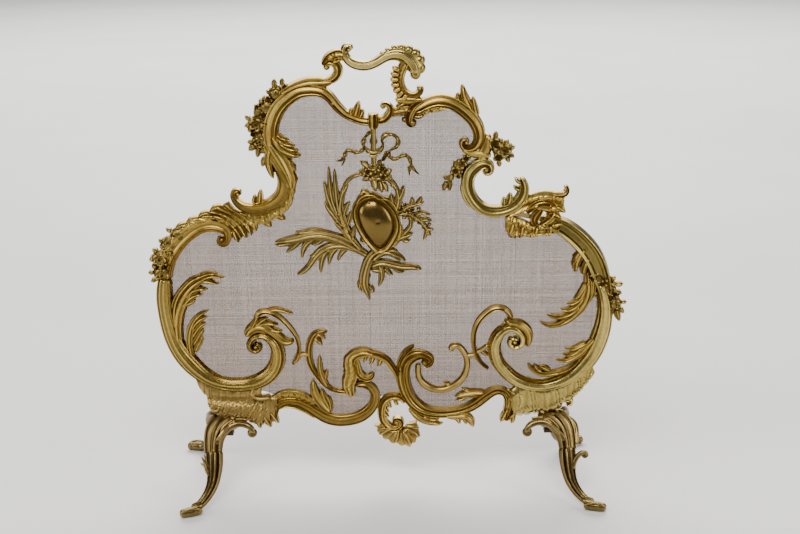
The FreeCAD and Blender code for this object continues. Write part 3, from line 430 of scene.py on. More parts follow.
def piece(name, finish, shapes, nodes=None, stagger=0.05):
    """one casting: the closed skins of its shapes in one mesh that stands for its CAD node. Each shape
    stands `stagger` mm further forward than the one laid before it, over 31 steps, so that no two backs
    lie in one plane"""
    points, quads, fans, wear_and_shade, base = [], [], [], [], 0
    for rings in shapes:
        p, q, f, c = skin(rings)
        points.append(p - [0, stagger * (next(LAID) % BACK_STEPS), 0])
        quads.append(q + base)
        fans.append(f + base)
        wear_and_shade.append(c)
        base += len(p)
    points = (np.vstack(points) + ZERO) / 1000
    quads, fans = np.vstack(quads), np.vstack(fans)
    mesh = bpy.data.meshes.new(name)
    mesh.vertices.add(len(points))
    mesh.vertices.foreach_set("co", points.astype(np.float32).ravel())
    mesh.loops.add(quads.size + fans.size)
    mesh.loops.foreach_set("vertex_index", np.r_[quads.ravel(), fans.ravel()].astype(np.int32))
    mesh.polygons.add(len(quads) + len(fans))
    starts = np.r_[np.arange(len(quads)) * 4, quads.size + np.arange(len(fans)) * 3]
    mesh.polygons.foreach_set("loop_start", starts.astype(np.int32))
    mesh.update(calc_edges=True)
    mesh.validate()
    # the wear-and-shade share: part wear and dirt, part painted highlight and painted shade
    layer = mesh.attributes.new("wear_and_shade", "FLOAT", "POINT")
    layer.data.foreach_set("value", np.concatenate(wear_and_shade).astype(np.float32))
    mesh.shade_smooth()
    mesh.set_sharp_from_angle(angle=np.radians(50))
    mesh.materials.append(finish)
    made = bpy.data.objects.new(name, mesh)
    bpy.context.scene.collection.objects.link(made)
    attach(made, "root")
    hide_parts(*(nodes or [name.replace("cast_", "")]))
    return made


# ---------------------------------------------------------------- finishes
def feed(tree, socket, value):
    """a link where value is another node's output, else a plain value"""
    if isinstance(value, bpy.types.NodeSocket):
        tree.links.new(value, socket)
    else:
        socket.default_value = value


def node(tree, kind, inputs=None, **settings):
    made = tree.nodes.new(kind)
    for key, value in settings.items():
        setattr(made, key, value)
    for key, value in (inputs or {}).items():
        feed(tree, made.inputs[key], value)
    return made


def mix_colour(tree, share, a, b):
    made = node(tree, "ShaderNodeMix", data_type="RGBA")
    for index, value in ((0, share), (6, a), (7, b)):
        feed(tree, made.inputs[index], value)
    return made.outputs[2]


def noise(tree, where, scale, detail=3.0, rough=0.55, warp=0.0):
    return node(tree, "ShaderNodeTexNoise", {"Vector": where, "Scale": scale, "Detail": detail,
                                             "Roughness": rough, "Distortion": warp}).outputs["Fac"]


def spread(tree, value, low, high, to_low=0.0, to_high=1.0):
    """a smooth step of value from low to high, given as to_low to to_high"""
    span = {"Value": value, "From Min": low, "From Max": high, "To Min": to_low, "To Max": to_high}
    return node(tree, "ShaderNodeMapRange", span, interpolation_type="SMOOTHSTEP").outputs["Result"]


def sums(tree, how, a, b):
    return node(tree, "ShaderNodeMath", {0: a, 1: b}, operation=how).outputs[0]


def swing(tree, value, about, size):
    """(value - about) x size"""
    return sums(tree, "MULTIPLY", sums(tree, "SUBTRACT", value, about), size)


def old_gilding_group():
    """rubbed gilding over brass: crests are bright, part rubbed gilding and part painted highlight; sides
    are dull gold;
    troughs are darker brown, part dirt and part painted shade; with coppery and olive patches, small pits
    and a fine cast grain"""
    tree = bpy.data.node_groups.new("old_gilding", "ShaderNodeTree")
    number, colour, vector = "NodeSocketFloat", "NodeSocketColor", "NodeSocketVector"
    for name, kind, value in (("Wear And Shade", number, 0.5), ("Crest", colour, (.8, .6, .3, 1)),
                              ("Side", colour, (.5, .35, .1, 1)), ("Dirt And Shade", colour, (.1, .06, .02, 1)),
                              ("Patch", colour, (.5, .2, .06, 1)), ("Dirt And Shade Level", number, 0.3),
                              ("Patches", number, 0.3), ("Polish", number, 0.3), ("Grain", number, 0.3)):
        tree.interface.new_socket(name, in_out="INPUT", socket_type=kind).default_value = value
    for name, kind in (("Colour", colour), ("Roughness", number), ("Metal", number), ("Normal", vector)):
        tree.interface.new_socket(name, in_out="OUTPUT", socket_type=kind)
    given = tree.nodes.new("NodeGroupInput").outputs
    where = node(tree, "ShaderNodeTexCoord").outputs["Object"]
    broad = noise(tree, where, 22.0, 2.0)
    fine = noise(tree, where, 160.0, 3.0, 0.6)
    grit = noise(tree, where, 620.0, 2.0, 0.7)
    ragged = sums(tree, "ADD", given["Wear And Shade"], swing(tree, fine, 0.5, 0.3))
    ragged = sums(tree, "ADD", ragged, swing(tree, broad, 0.5, 0.25))
    # crests take the crest colour: part rubbed gilding, part painted highlight
    crest = spread(tree, ragged, 0.44, 0.92)
    colour = mix_colour(tree, crest, given["Side"], given["Crest"])
    tint = spread(tree, noise(tree, where, 34.0, 3.0, 0.6, 0.6), 0.5, 0.7)
    colour = mix_colour(tree, sums(tree, "MULTIPLY", tint, given["Patches"]), colour, given["Patch"])
    # painted shade and dirt: where the share is low, in troughs and near the back, the colour turns to the
    # darker brown; pits add their own dark marks
    edge = sums(tree, "ADD", given["Dirt And Shade Level"], -0.3)
    dirt_and_shade = sums(tree, "SUBTRACT", 1.0, spread(tree, ragged, edge, sums(tree, "ADD", edge, 0.4)))
    pits = spread(tree, noise(tree, where, 330.0, 2.0, 0.5), 0.66, 0.74, 0.0, 0.55)
    dirt_and_shade = sums(tree, "MAXIMUM", dirt_and_shade, sums(tree, "MULTIPLY", pits, given["Grain"]))
    colour = mix_colour(tree, dirt_and_shade, colour, given["Dirt And Shade"])
    rough = sums(tree, "ADD", given["Polish"], swing(tree, fine, 0.45, 0.25))
    rough = sums(tree, "ADD", rough, sums(tree, "MULTIPLY", dirt_and_shade, 0.3))
    rough = sums(tree, "SUBTRACT", rough, sums(tree, "MULTIPLY", crest, 0.08))
    relief = sums(tree, "ADD", sums(tree, "MULTIPLY", fine, 0.75), sums(tree, "MULTIPLY", grit, 0.3))
    bump = node(tree, "ShaderNodeBump", {"Height": relief, "Strength": given["Grain"], "Distance": 0.0006})
    out = tree.nodes.new("NodeGroupOutput").inputs
    tree.links.new(colour, out["Colour"])
    tree.links.new(rough, out["Roughness"])
    tree.links.new(sums(tree, "SUBTRACT", 1.0, sums(tree, "MULTIPLY", dirt_and_shade, 0.55)), out["Metal"])
    tree.links.new(bump.outputs["Normal"], out["Normal"])
    return tree


OLD_GILDING = old_gilding_group()


def new_material(name):
    material = bpy.data.materials.new(name)
    material.use_nodes = True
    tree = material.node_tree
    return material, tree, tree.nodes["Principled BSDF"]


def gilt(name, crest, side, dirt_and_shade=(.12, .07, .024), patch=(.38, .19, .04), dirt_and_shade_level=.3, patches=.35,
         polish=.34, grain=.35, wear_and_shade=None):
    """a finish of old gilding, whose crest colour is part painted highlight and whose trough colour is part
    dirt and part painted shade; the last argument is a fixed wear-and-shade share for pieces that have no
    such attribute
    """
    material, tree, shader = new_material(name)
    group = node(tree, "ShaderNodeGroup", {
        "Crest": (*crest, 1), "Side": (*side, 1), "Dirt And Shade": (*dirt_and_shade, 1), "Patch": (*patch, 1),
        "Dirt And Shade Level": dirt_and_shade_level, "Patches": patches, "Polish": polish, "Grain": grain},
        node_tree=OLD_GILDING)
    if wear_and_shade is None:
        worn = node(tree, "ShaderNodeAttribute", attribute_name="wear_and_shade", attribute_type="GEOMETRY")
        tree.links.new(worn.outputs["Fac"], group.inputs["Wear And Shade"])
    else:
        group.inputs["Wear And Shade"].default_value = wear_and_shade
    for output, socket in (("Colour", "Base Color"), ("Roughness", "Roughness"), ("Metal", "Metallic"),
                           ("Normal", "Normal")):
        tree.links.new(group.outputs[output], shader.inputs[socket])
    return material


# finishes: crest colour (part painted highlight), side colour, and darker trough colour (part dirt, part
# painted shade)
GOLD = gilt("old_gilt_brass", (.66, .475, .12), (.245, .162, .036))
FLUTED_GOLD = gilt("rubbed_gilt_brass", (.51, .36, .09), (.205, .138, .031), patches=.2, polish=.27)
PALE_GOLD = gilt("burnished_gilt_brass", (.72, .58, .19), (.30, .218, .056), dirt_and_shade=(.09, .05, .016),
    patches=.12, polish=.25, grain=.1, dirt_and_shade_level=.25)
OLIVE_GOLD = gilt("olive_gilt_brass", (.56, .44, .14), (.22, .165, .042), dirt_and_shade=(.055, .038, .014),
    patches=.1, polish=.32, dirt_and_shade_level=.34)
LEAF_GOLD = gilt("leaf_gilt_brass", (.52, .37, .095), (.25, .168, .036), patches=.3, polish=.32)
COPPERY_GOLD = gilt("coppery_gilt_brass", (.52, .37, .11), (.235, .15, .036), patches=.35, polish=.33)
FLOWER_GOLD = gilt("flower_gilt_brass", (.40, .29, .085), (.185, .128, .034), dirt_and_shade=(.075, .048, .017),
    patch=(.14, .125, .04), patches=.4, polish=.36, dirt_and_shade_level=.2)
TROPHY_GOLD = gilt("trophy_gilt_brass", (.45, .34, .11), (.22, .158, .047), dirt_and_shade=(.085, .056, .02),
    patches=.3, patch=(.28, .16, .05), polish=.32, dirt_and_shade_level=.25)
LEG_GOLD = gilt("leg_gilt_brass", (.32, .23, .08), (.105, .07, .024), dirt_and_shade=(.032, .02, .008), patches=.35,
    patch=(.14, .07, .024), polish=.34, dirt_and_shade_level=.36)
PUNCHED_GOLD = gilt("punched_gilt_brass", (.50, .36, .115), (.25, .168, .048), dirt_and_shade=(.11, .064, .022),
    patches=.5, patch=(.30, .165, .045), polish=.4, grain=1.0, dirt_and_shade_level=.3)
# painted reflection: the dome's colours are kept dark so that it looks like it reflects a dark room
MIRROR_GOLD = gilt("polished_gilt_brass", (.20, .135, .036), (.155, .102, .028), patches=.05, polish=.23,
    grain=.03, dirt_and_shade_level=.05)
STRIP_BRASS = gilt("plain_brass_strip", (.60, .45, .20), (.42, .29, .10), patches=.3, polish=.38, wear_and_shade=.55)
FIXING_BRASS = gilt("dull_brass_fixing", (.5, .38, .18), (.34, .24, .09), patches=.4, polish=.42, wear_and_shade=.5)
# painted shade: the foot bolts take the dark brown of the shade under the leg arms
BOLT_SHADE_BROWN = gilt("bolt_shade_brown", (.13, .10, .065), (.07, .05, .03), dirt_and_shade=(.05, .03, .015),
    patch=(.12, .06, .025), patches=.5, polish=.5, wear_and_shade=.5)


def wire_material():
    """drawn wire gone brown: bands of darker and lighter wires, with light spots where it is rubbed"""
    material, tree, shader = new_material("old_wire")
    where = node(tree, "ShaderNodeTexCoord").outputs["Object"]
    drawn_out = [node(tree, "ShaderNodeMapping", {"Vector": where, "Scale": scale}).outputs[0]
                 for scale in ((1, 1, 40), (40, 1, 1))]
    bands, stripes = [noise(tree, way, 4.0, 4.0, .7) for way in drawn_out]
    mixed = spread(tree, sums(tree, "ADD", bands, stripes), 0.75, 1.25)
    colour = mix_colour(tree, mixed, (.115, .05, .012, 1), (.21, .105, .03, 1))
    tree.links.new(colour, shader.inputs["Base Color"])
    shader.inputs["Metallic"].default_value = 0.85
    tree.links.new(spread(tree, noise(tree, where, 900.0), .3, .7, .35, .6), shader.inputs["Roughness"])
    return material


OLD_WIRE = wire_material()


# ---------------------------------------------------------------- big lower scrolls and corner blocks
LEFT_C = spiral([(-342, 352, 20), (-345, 325, 26), (-345, 300, 26), (-342, 275, 27), (-337, 252, 28),
    (-327, 228, 30), (-311, 205, 31), (-290, 185, 27), (-264, 172, 24), (-238, 169, 24), (-212, 173, 25),
    (-190, 185, 26), (-177, 203, 26), (-173, 222, 24), (-177, 240, 21), (-189, 252, 17), (-203, 254, 14),
    (-214, 246, 11)], (-207, 236), 1.1)
RIGHT_C = spiral([(212, 245, 12), (204, 258, 15), (192, 263, 18), (181, 258, 19), (172, 246, 21),
    (168.5, 232, 22), (170, 217, 22), (176, 202, 22), (187, 188, 22), (200, 176, 22), (216, 167.5, 22),
    (233, 163.5, 22), (251, 163.5, 22), (268, 167.5, 24), (285, 175.5, 26), (300, 187, 29), (313, 202, 30),
    (324, 219, 30), (331, 236, 30), (336, 253, 29), (339, 270, 27), (340, 288, 25), (338, 306, 23),
    (334, 322, 19), (328, 336, 13)], (200, 240), -1.1, at_start=True)
piece("cast_lower_scroll_left", FLUTED_GOLD, [
    bar(LEFT_C, FINE_FLUTES, 16, lanes=61, point=(.3, .5)),
    knob(-207, 236, 5.5, 15)])
piece("cast_lower_scroll_right", PALE_GOLD, [
    bar(RIGHT_C, BROAD, 16, lanes=49),
    knob(200, 240, 5.5, 15),
    bar([(333, 318, 6), (338, 304, 10), (339, 290, 11), (337, 276, 5)], CUPPED, 19)])

piece("cast_corner_block_left", PUNCHED_GOLD, [
    web([(-306, 192), (-286, 176), (-262, 166), (-236, 163), (-212, 166), (-200, 172)], [(-298, 160),
        (-287, 146), (-268, 140), (-245, 140), (-222, 142), (-203, 148)], 13, form=section((-1, .8),
        (-.2, 1), (.6, .8), (1, .5)), ribs=(13, .13, .5), scallop=.05),
    web([(-290, 150), (-262, 150), (-236, 148), (-210, 149), (-184, 148)], [(-283, 126), (-268, 114),
        (-250, 111), (-232, 107), (-210, 98)], 15, ribs=(4, .1, .9), scallop=.05, rough=.09,
        form=section((-1, .2), (-.75, .6), (-.2, 1), (.8, .95), (1, .6))),
    web([(-226, 152), (-205, 152), (-178, 149)], [(-222, 99), (-201, 97), (-179, 100)], 12.5,
        ribs=(5, .28, .5), scallop=.12, form=section((-1, .8), (-.2, 1), (.7, .8), (1, .5))),
    *leaves(14, 3, [(-200, 118, 9), (-194, 106, 8), (-188, 96, 3)], [(-210, 112, 9), (-208, 102, 8),
        (-205, 94, 3)]),
    leaf([(-190, 124, 8), (-182, 112, 8), (-176, 103, 3)], 13, 3),
    bar([(-214, 166, 6), (-217, 156, 8), (-210, 149, 9), (-199, 148, 9), (-188, 150, 7)], roll, 14),
    bar([(-279, 139, 5), (-283, 133, 8), (-276, 128, 9), (-270, 134, 6)], roll, 16)])
piece("cast_corner_block_right", PALE_GOLD, [
    web([(190, 152), (204, 164), (218, 170), (238, 164), (262, 164), (285, 175), (303, 189), (320, 208)],
        [(203, 110), (214, 109), (228, 111), (244, 112), (261, 114), (282, 130), (304, 147), (329, 184)],
        14, ribs=(15, .16, 1.6), scallop=.09, form=section((-1, .55), (-.5, .8), (.1, .86), (.6, 1),
        (1, .45)), rough=.03),
    bar([(210, 150, 8), (214, 138, 10), (211, 124, 9), (216, 116, 6)], roll, 12),
    bar([(286, 142, 6), (293, 138, 8), (291, 131, 7), (285, 131, 5)], roll, 12)])

# ---------------------------------------------------------------- apron
piece("cast_apron_scroll_left", GOLD, [
    bar([(-181, 110, 7), (-181, 124, 11), (-175, 135, 13), (-165, 140, 14), (-153, 140.5, 15),
        (-140, 137, 16), (-126, 129, 17), (-112, 118.5, 18), (-97, 110, 19), (-80, 106, 19), (-63, 107, 19),
        (-46, 112, 19), (-31, 123, 18), (-22, 138, 17), (-21.5, 154, 16), (-30, 166, 14), (-42, 170, 12),
        (-51, 168, 8)], SCOOP, 13, lanes=45),
    bar([(-176, 127, 4), (-168, 131, 5), (-156, 131, 6), (-143, 127, 6), (-130, 120, 6), (-118, 112, 4)],
        roll, 10)])
piece("cast_apron_scroll_right", GOLD, [
    bar([(58, 199, 10), (66, 203, 11), (68, 211, 12), (61, 217, 13), (51, 220, 15), (40, 217, 19),
        (30, 209, 22), (25, 197, 23), (24, 184, 23), (25.5, 170, 23), (30, 154, 23), (38, 139, 23),
        (50, 127, 22), (65, 120, 20), (82, 117.5, 19), (100, 118, 19), (118, 122, 18), (134, 129, 18),
        (148, 139, 18), (160, 149, 17), (172, 155.5, 16), (184, 154, 15), (191, 145, 15), (193, 132, 15),
        (190.5, 119, 14), (187, 105, 8)], section((-1, .3), (-.86, .6), (-.68, .34), (-.42, .5), (-.2, .42),
        (.12, .95), (.34, .62), (.6, .62), (.8, 1), (.94, .6), (1, .3)), 13.5, lanes=57),
    bar([(20, 188, 5), (18, 203, 8), (24, 218, 9), (33, 229, 8), (42, 237, 3)], CUPPED, 12, lift=3),
    knob(60, 205, 7, 9),
    bar([(186, 156, 8), (196, 149, 16), (200, 137, 21), (198, 124, 21), (192, 112, 15), (187, 102, 5)],
        section((-1, .5), (-.7, 1), (-.3, .5), (.1, .3), (.5, .8), (.75, .9), (1, .3)), 14, lanes=37,
        ribs=(5, .2, .6)),
    *leaves(12, 3, [(190, 120, 8), (184, 110, 8), (180, 101, 3)], [(200, 118, 9), (200, 107, 8),
        (197, 98, 3)])])
piece("cast_apron_ear_scroll", GOLD, [
    bar([(16, 180, 9), (8, 196, 11), (-1, 209, 12), (-14, 218, 12), (-28, 221.5, 12), (-42, 219.5, 12),
        (-52, 212, 11), (-54, 201, 9)], TWO_REEDS, 11, lanes=33),
    bar([(-56, 222, 12), (-59, 210, 21), (-57, 196, 25), (-58, 183, 25), (-62, 171, 22), (-61, 159, 18),
        (-57, 147, 8)], LEAF, 13, ribs=(9, .14, .8), teeth=(6, 6, .2), lanes=45),
    bar([(-50, 212, 8), (-48, 200, 12), (-46, 190, 14), (-38, 182, 13), (-28, 182, 11), (-23, 189, 8)],
        TWO_REEDS, 13),
    leaf([(-57, 203, 12), (-57, 215, 15), (-47, 223, 14), (-33, 225, 12), (-19, 220, 5)], 13, 2,
        teeth=(5, 0, .25), lanes=31),
    *leaves(8, 3, [(-22, 217, 7), (-25, 209, 7), (-29, 203, 3)], [(-10, 213, 7), (-13, 205, 7),
        (-17, 200, 3)], [(-34, 219, 7), (-36, 211, 6), (-39, 206, 3)]),
    leaf([(-58, 176, 9), (-66, 168, 8), (-68, 160, 3)], 9)])
piece("cast_apron_ring_scroll", GOLD, [
    bar(spiral([(28, 136, 8), (20, 144, 11), (10, 147, 13), (-1, 143.5, 14), (-8.5, 134, 14),
        (-11, 120, 14), (-9, 106, 14), (-2, 96, 14), (8, 91, 13), (17, 94, 11)], (13, 102), .95), TWO_REEDS,
        12, lanes=37),
    knob(13, 102, 5, 12),
    *leaves(9, 2, [(0, 138, 6), (2, 131, 6), (6, 127, 2)], [(-6, 130, 6), (-3, 123, 6), (2, 120, 2)],
        [(-7, 120, 6), (-3, 114, 6), (2, 112, 2)], [(10, 142, 6), (13, 135, 6), (17, 132, 2)])])
piece("cast_apron_shell_centre", COPPERY_GOLD, [
    scallop_shell((20, 97), [(-24, 98), (-18, 85), (-8, 73), (5, 65), (20, 60), (34, 58), (43, 66),
        (50, 77), (49, 91), (46, 103)], 8, 9),
    knob(28, 84, 9, 12),
    leaf([(22, 88, 8), (30, 76, 12), (36, 60, 5)], 12, 4),
    leaf([(26, 92, 7), (40, 86, 10), (51, 76, 4)], 11, 4),
    *leaves(10, 3, [(16, 90, 7), (14, 76, 10), (8, 64, 4)], [(10, 94, 6), (-4, 88, 9), (-16, 80, 4)])])
piece("cast_apron_leaf_left", LEAF_GOLD, [
    leaf([(-92, 120, 9), (-104, 132, 15), (-114, 148, 15), (-118, 162, 12), (-119, 178, 4)], 10, 4),
    leaf([(-94, 126, 8), (-100, 140, 9), (-104, 152, 8), (-106, 163, 3)], 9, 3),
    leaf([(-92, 122, 6), (-93, 134, 7), (-95, 144, 6), (-99, 152, 2)], 8, 3),
    web([(-187, 148), (-174, 157), (-158, 161), (-142, 159), (-128, 152), (-116, 143)], [(-184, 138),
        (-172, 144), (-158, 146), (-143, 143), (-130, 136), (-120, 130)], 9, ribs=(12, .22, .5))])
piece("cast_apron_leaves_right", COPPERY_GOLD, [
    leaf([(156, 152, 8), (142, 151, 13), (128, 150, 14), (116, 149, 9), (106, 147, 3)], 9, 3),
    *leaves(8, 3, [(132, 150, 8), (124, 157, 7), (117, 161, 3)], [(126, 148, 8), (118, 142, 7),
        (108, 141, 3)]),
    leaf([(92, 112, 8), (108, 111, 13), (122, 111, 14), (132, 104, 12), (137, 92, 4)], 9, 4),
    *leaves(8, 3, [(104, 112, 8), (112, 105, 8), (115, 97, 3)], [(116, 112, 8), (123, 105, 8),
        (125, 96, 3)]),
    leaf([(34, 126, 7), (45, 112, 10), (58, 104, 11), (72, 100.5, 9), (88, 100, 4)], 9, 3),
    leaf([(56, 112, 7), (68, 106, 8), (82, 107, 3)], 8, 2)])

# ---------------------------------------------------------------- side rails and waist
piece("cast_side_rail_upper_left", GOLD, [
    bar(spiral([(-241, 414, 12), (-242, 424, 16), (-254, 432, 19), (-270, 434, 21), (-286, 429.5, 21),
        (-300, 420, 21), (-312, 409, 21), (-323, 396, 21), (-331, 383, 21), (-337, 368, 21),
        (-341, 350, 20)], (-250, 412), -.8, at_start=True), SCOOP, 13, lanes=45, point=(.5, .3)),
    knob(-250, 412, 4.5, 11),
    web([(-263, 452), (-280, 448), (-297, 441), (-312, 431), (-325, 419), (-338, 405), (-350, 388),
        (-353, 372)], [(-262, 440), (-277, 438), (-291, 432), (-303, 423), (-315, 411), (-326, 398),
        (-335, 383), (-340, 370)], 9, ribs=(8, .18, 1.2), scallop=.06)])
piece("cast_side_rail_upper_right", OLIVE_GOLD, [
    bar([(236, 440, 16), (252, 434, 25), (268, 427, 29), (284, 416, 31), (299, 402, 32), (312, 386, 33),
        (321, 370, 33), (328, 353, 31), (334, 336, 27), (337.5, 320, 22), (339, 304, 18)], HOLLOW, 16,
        lanes=49)])
piece("cast_waist_scroll_left", GOLD, [
    bar(spiral([(-228, 478, 11), (-222, 469, 14), (-211, 462, 17), (-198, 460, 20), (-184, 462, 21),
        (-170, 468, 22), (-158, 479, 22), (-152.5, 494, 21), (-154, 508, 18), (-162, 521, 9)], (-222, 483),
        -.7, at_start=True), SCOOP, 13, lanes=45),
    knob(-222, 483, 4.5, 12),
    leaf([(-190, 466, 9), (-189, 477, 9), (-187, 490, 3)], 13, 4),
    leaf([(-196, 465, 7), (-198, 474, 6), (-196, 482, 2)], 12, 3)])
piece("cast_waist_scroll_right", OLIVE_GOLD, [
    bar(spiral([(203, 504, 8), (208, 492, 15), (207, 478, 19), (201, 467, 20), (190, 458, 20),
        (174, 452.5, 21), (157, 452.5, 21), (142, 459.5, 20), (132, 471, 19), (125.5, 485, 20),
        (124, 500, 21), (128.5, 513, 22), (138, 522.5, 21), (149, 526, 18), (157, 521, 14)], (151, 516),
        -.6), TWO_REEDS, 13, lanes=45),
    knob(151, 516, 5, 12),
    bar([(137, 455, 4), (127, 462, 6), (119, 474, 6), (115.5, 488, 6), (117, 502, 4)], roll, 7),
    *leaves(13, 3, [(205, 497, 8), (199, 499, 7), (194, 505, 2)], [(204, 486, 8), (198, 487, 7),
        (192, 493, 2)], [(184, 462, 9), (187, 470, 10), (188, 482, 3)]),
    leaf([(178, 460, 8), (179, 467, 7), (178, 475, 2)], 12, 2)])
piece("cast_waist_shell_left", LEAF_GOLD, [
    web([(-262, 450), (-246, 453), (-230, 456), (-214, 455), (-198, 452), (-182, 453), (-166, 462),
        (-152, 474), (-146, 490), (-144, 504)], [(-250, 438), (-240, 431), (-228, 430), (-214, 431),
        (-200, 432), (-186, 435), (-164, 444), (-146, 458), (-138, 476), (-138, 494)], 10,
        ribs=(17, .2, 1.4), scallop=.08, rough=.03),
    web([(-237, 471), (-229, 462), (-219, 455), (-208, 447), (-200, 437)], [(-288, 444), (-266, 446),
        (-250, 439), (-237, 425), (-227, 407)], 13, form=section((-1, .5), (-.82, .95), (-.62, .62),
        (-.4, 1), (-.18, .6), (.08, 1), (.3, .6), (.54, .95), (.74, .55), (.9, .8), (1, .4)),
        ribs=(3, .06, .4), lanes=61),
    leaf([(-262, 452, 8), (-273, 453, 8), (-284, 449, 4)], 9, 3),
    leaf([(-244, 462, 8), (-255, 462, 9), (-266, 457, 4)], 10, 3),
    *leaves(9, 3, [(-280, 444, 8), (-292, 444, 8), (-303, 439, 4)], [(-300, 436, 7), (-311, 434, 8),
        (-321, 428, 4)]),
    leaf([(-206, 444, 14), (-201, 434, 13), (-196, 425, 6)], 11, 3),
    *leaves(13, 3, [(-232, 428, 10), (-229, 418, 9), (-224, 407, 4)], [(-222, 436, 10), (-217, 425, 9),
        (-211, 414, 4)]),
    leaf([(-212, 440, 9), (-208, 430, 9), (-204, 418, 4)], 12, 3),
    *leaves(10, 2, [(-190, 446, 13), (-181, 438, 11), (-173, 431, 5)], [(-172, 456, 12), (-161, 448, 11),
        (-152, 442, 5)])])
piece("cast_waist_shell_right", GOLD, [
    web([(190, 462), (208, 472), (224, 480), (240, 483), (256, 481), (269, 476)], [(186, 440), (204, 447),
        (220, 451), (236, 450), (252, 447), (269, 450)], 12, ribs=(5, .2, 1.4), scallop=.06,
        form=section((-1, .5), (-.5, 1), (.1, .6), (.6, .9), (1, .5))),
    bar([(212, 450, 8), (222, 460, 12), (236, 466, 14), (250, 463, 13), (254, 456, 10), (244, 451, 8)],
        CUPPED, 16),
    bar([(250, 477, 14), (261, 477, 12), (270, 479, 10), (273, 486, 8), (269, 491, 6)], TWO_REEDS, 13),
    leaf([(254, 460, 12), (264, 456, 11), (272, 449, 5)], 13, 3),
    leaf([(250, 452, 12), (258, 446, 11), (266, 441, 5)], 12, 3),
    bar([(236, 456, 10), (229, 447, 14), (225, 438, 14), (229, 430, 8)], CUPPED, 13),
    bar([(256, 452, 12), (250, 443, 16), (242, 436, 14), (234, 432, 8)], TWO_REEDS, 13),
    web([(181, 446), (196, 444), (212, 437), (226, 432), (240, 432), (254, 434), (268, 436)], [(181, 421),
        (186, 412), (198, 407), (211, 411), (222, 408), (234, 412), (247, 411), (262, 421)], 12,
        ribs=(8, .3, .5), scallop=.14, rough=.05, form=section((-1, .5), (-.4, .8), (.1, .6), (.6, 1),
        (1, .45))),
    *leaves(15, 3, [(194, 436, 9), (190, 424, 12), (187, 413, 7)], [(208, 432, 9), (206, 420, 12),
        (203, 409, 7)], [(230, 430, 9), (228, 420, 11), (226, 411, 6)], [(250, 432, 9), (250, 422, 11),
        (251, 413, 6)])])

# ---------------------------------------------------------------- shoulders and crest
piece("cast_crest_clasp", GOLD, [
    bar([(-16.5, 580, 14), (-16.5, 586, 16), (-16.5, 598, 17), (-16.5, 604, 14)], THREE_REEDS, 18, back=-.5,
        point=(.12, .12), lanes=41)])
piece("cast_crest_rail_left", GOLD, [
    bar([(-168, 553, 20), (-169, 572, 24), (-167, 588, 25), (-161, 604, 25), (-151, 618, 24),
        (-138, 629, 23), (-123, 636.5, 22), (-107, 638, 21), (-93, 636, 19), (-82, 629, 17), (-73, 618, 16),
        (-65, 609, 15), (-57, 602, 14), (-47, 597, 14), (-35, 592.5, 14), (-22, 591, 14)], THREE_REEDS, 14,
        lanes=45, point=(.3, .15)),
    leaf([(-152, 632, 9), (-130, 643, 14), (-108, 648.5, 16), (-90, 649, 14), (-74, 651, 8)], 13, 1,
        point=(.5, .6)),
    knob(-75, 619, 4.5, 15),
    leaf([(-44, 596, 10), (-41, 606, 11), (-39, 613, 8), (-37, 622, 3)], 12, 3),
    *leaves(11, 2, [(-38, 594, 7), (-33, 603, 7), (-32, 610, 3)], [(-48, 598, 7), (-49, 606, 6),
        (-48, 612, 2)])])
piece("cast_crest_hook", GOLD, [
    bar([(-12, 591.5, 14), (-3, 593, 14), (4, 598, 13), (8.5, 606, 12), (7, 613.5, 10), (1, 617, 8),
        (-4, 614.5, 7)], TWO_REEDS, 12, lanes=33),
    knob(-2, 613, 4.5, 11)])
piece("cast_crest_arch_right", GOLD, [
    bar(spiral([(42, 605, 16), (56, 613, 19), (70, 619, 21), (86, 620.5, 22), (102, 616, 22),
        (117, 606, 22), (130, 593, 21), (138, 579, 20), (140, 566, 18), (136, 555, 15), (128, 549, 12),
        (119, 549, 10)], (121, 558), -.7), THREE_REEDS, 14, lanes=45),
    knob(121, 558, 4.5, 12),
    leaf([(128, 606, 10), (120, 620, 12), (116, 632, 9), (114, 645, 3)], 12, 3),
    leaf([(136, 596, 9), (133, 609, 9), (131, 618, 7), (130, 627, 3)], 11, 3),
    leaf([(112, 616, 7), (108, 625, 6), (108, 633, 2)], 11, 2),
    web([(48, 604), (62, 611), (78, 613), (92, 610)], [(52, 594), (64, 600), (76, 603), (88, 606)], 9,
        ribs=(7, .3, .4), scallop=.2)])
piece("cast_crest_link", COPPERY_GOLD, [
    bar([(10, 604, 13), (22, 606, 17), (33, 607, 17), (45, 607, 15)], LEAF, 11, ribs=(4, .2, .4)),
    bar([(60, 622, 6), (48, 616, 12), (40, 607, 15), (36, 597, 14), (37, 588, 12), (43, 584, 8)], TWO_REEDS,
        14, lanes=33),
    knob(41, 588, 6.5, 12),
    leaf([(44, 604, 9), (53, 606, 8), (62, 612, 3)], 12, 2),
    knob(30, 593, 4.5, 9),
    leaf([(42, 600, 8), (50, 598, 8), (60, 602, 3)], 11, 2),
    leaf([(18, 608, 6), (24, 615, 7), (32, 618, 3)], 9, 2)])
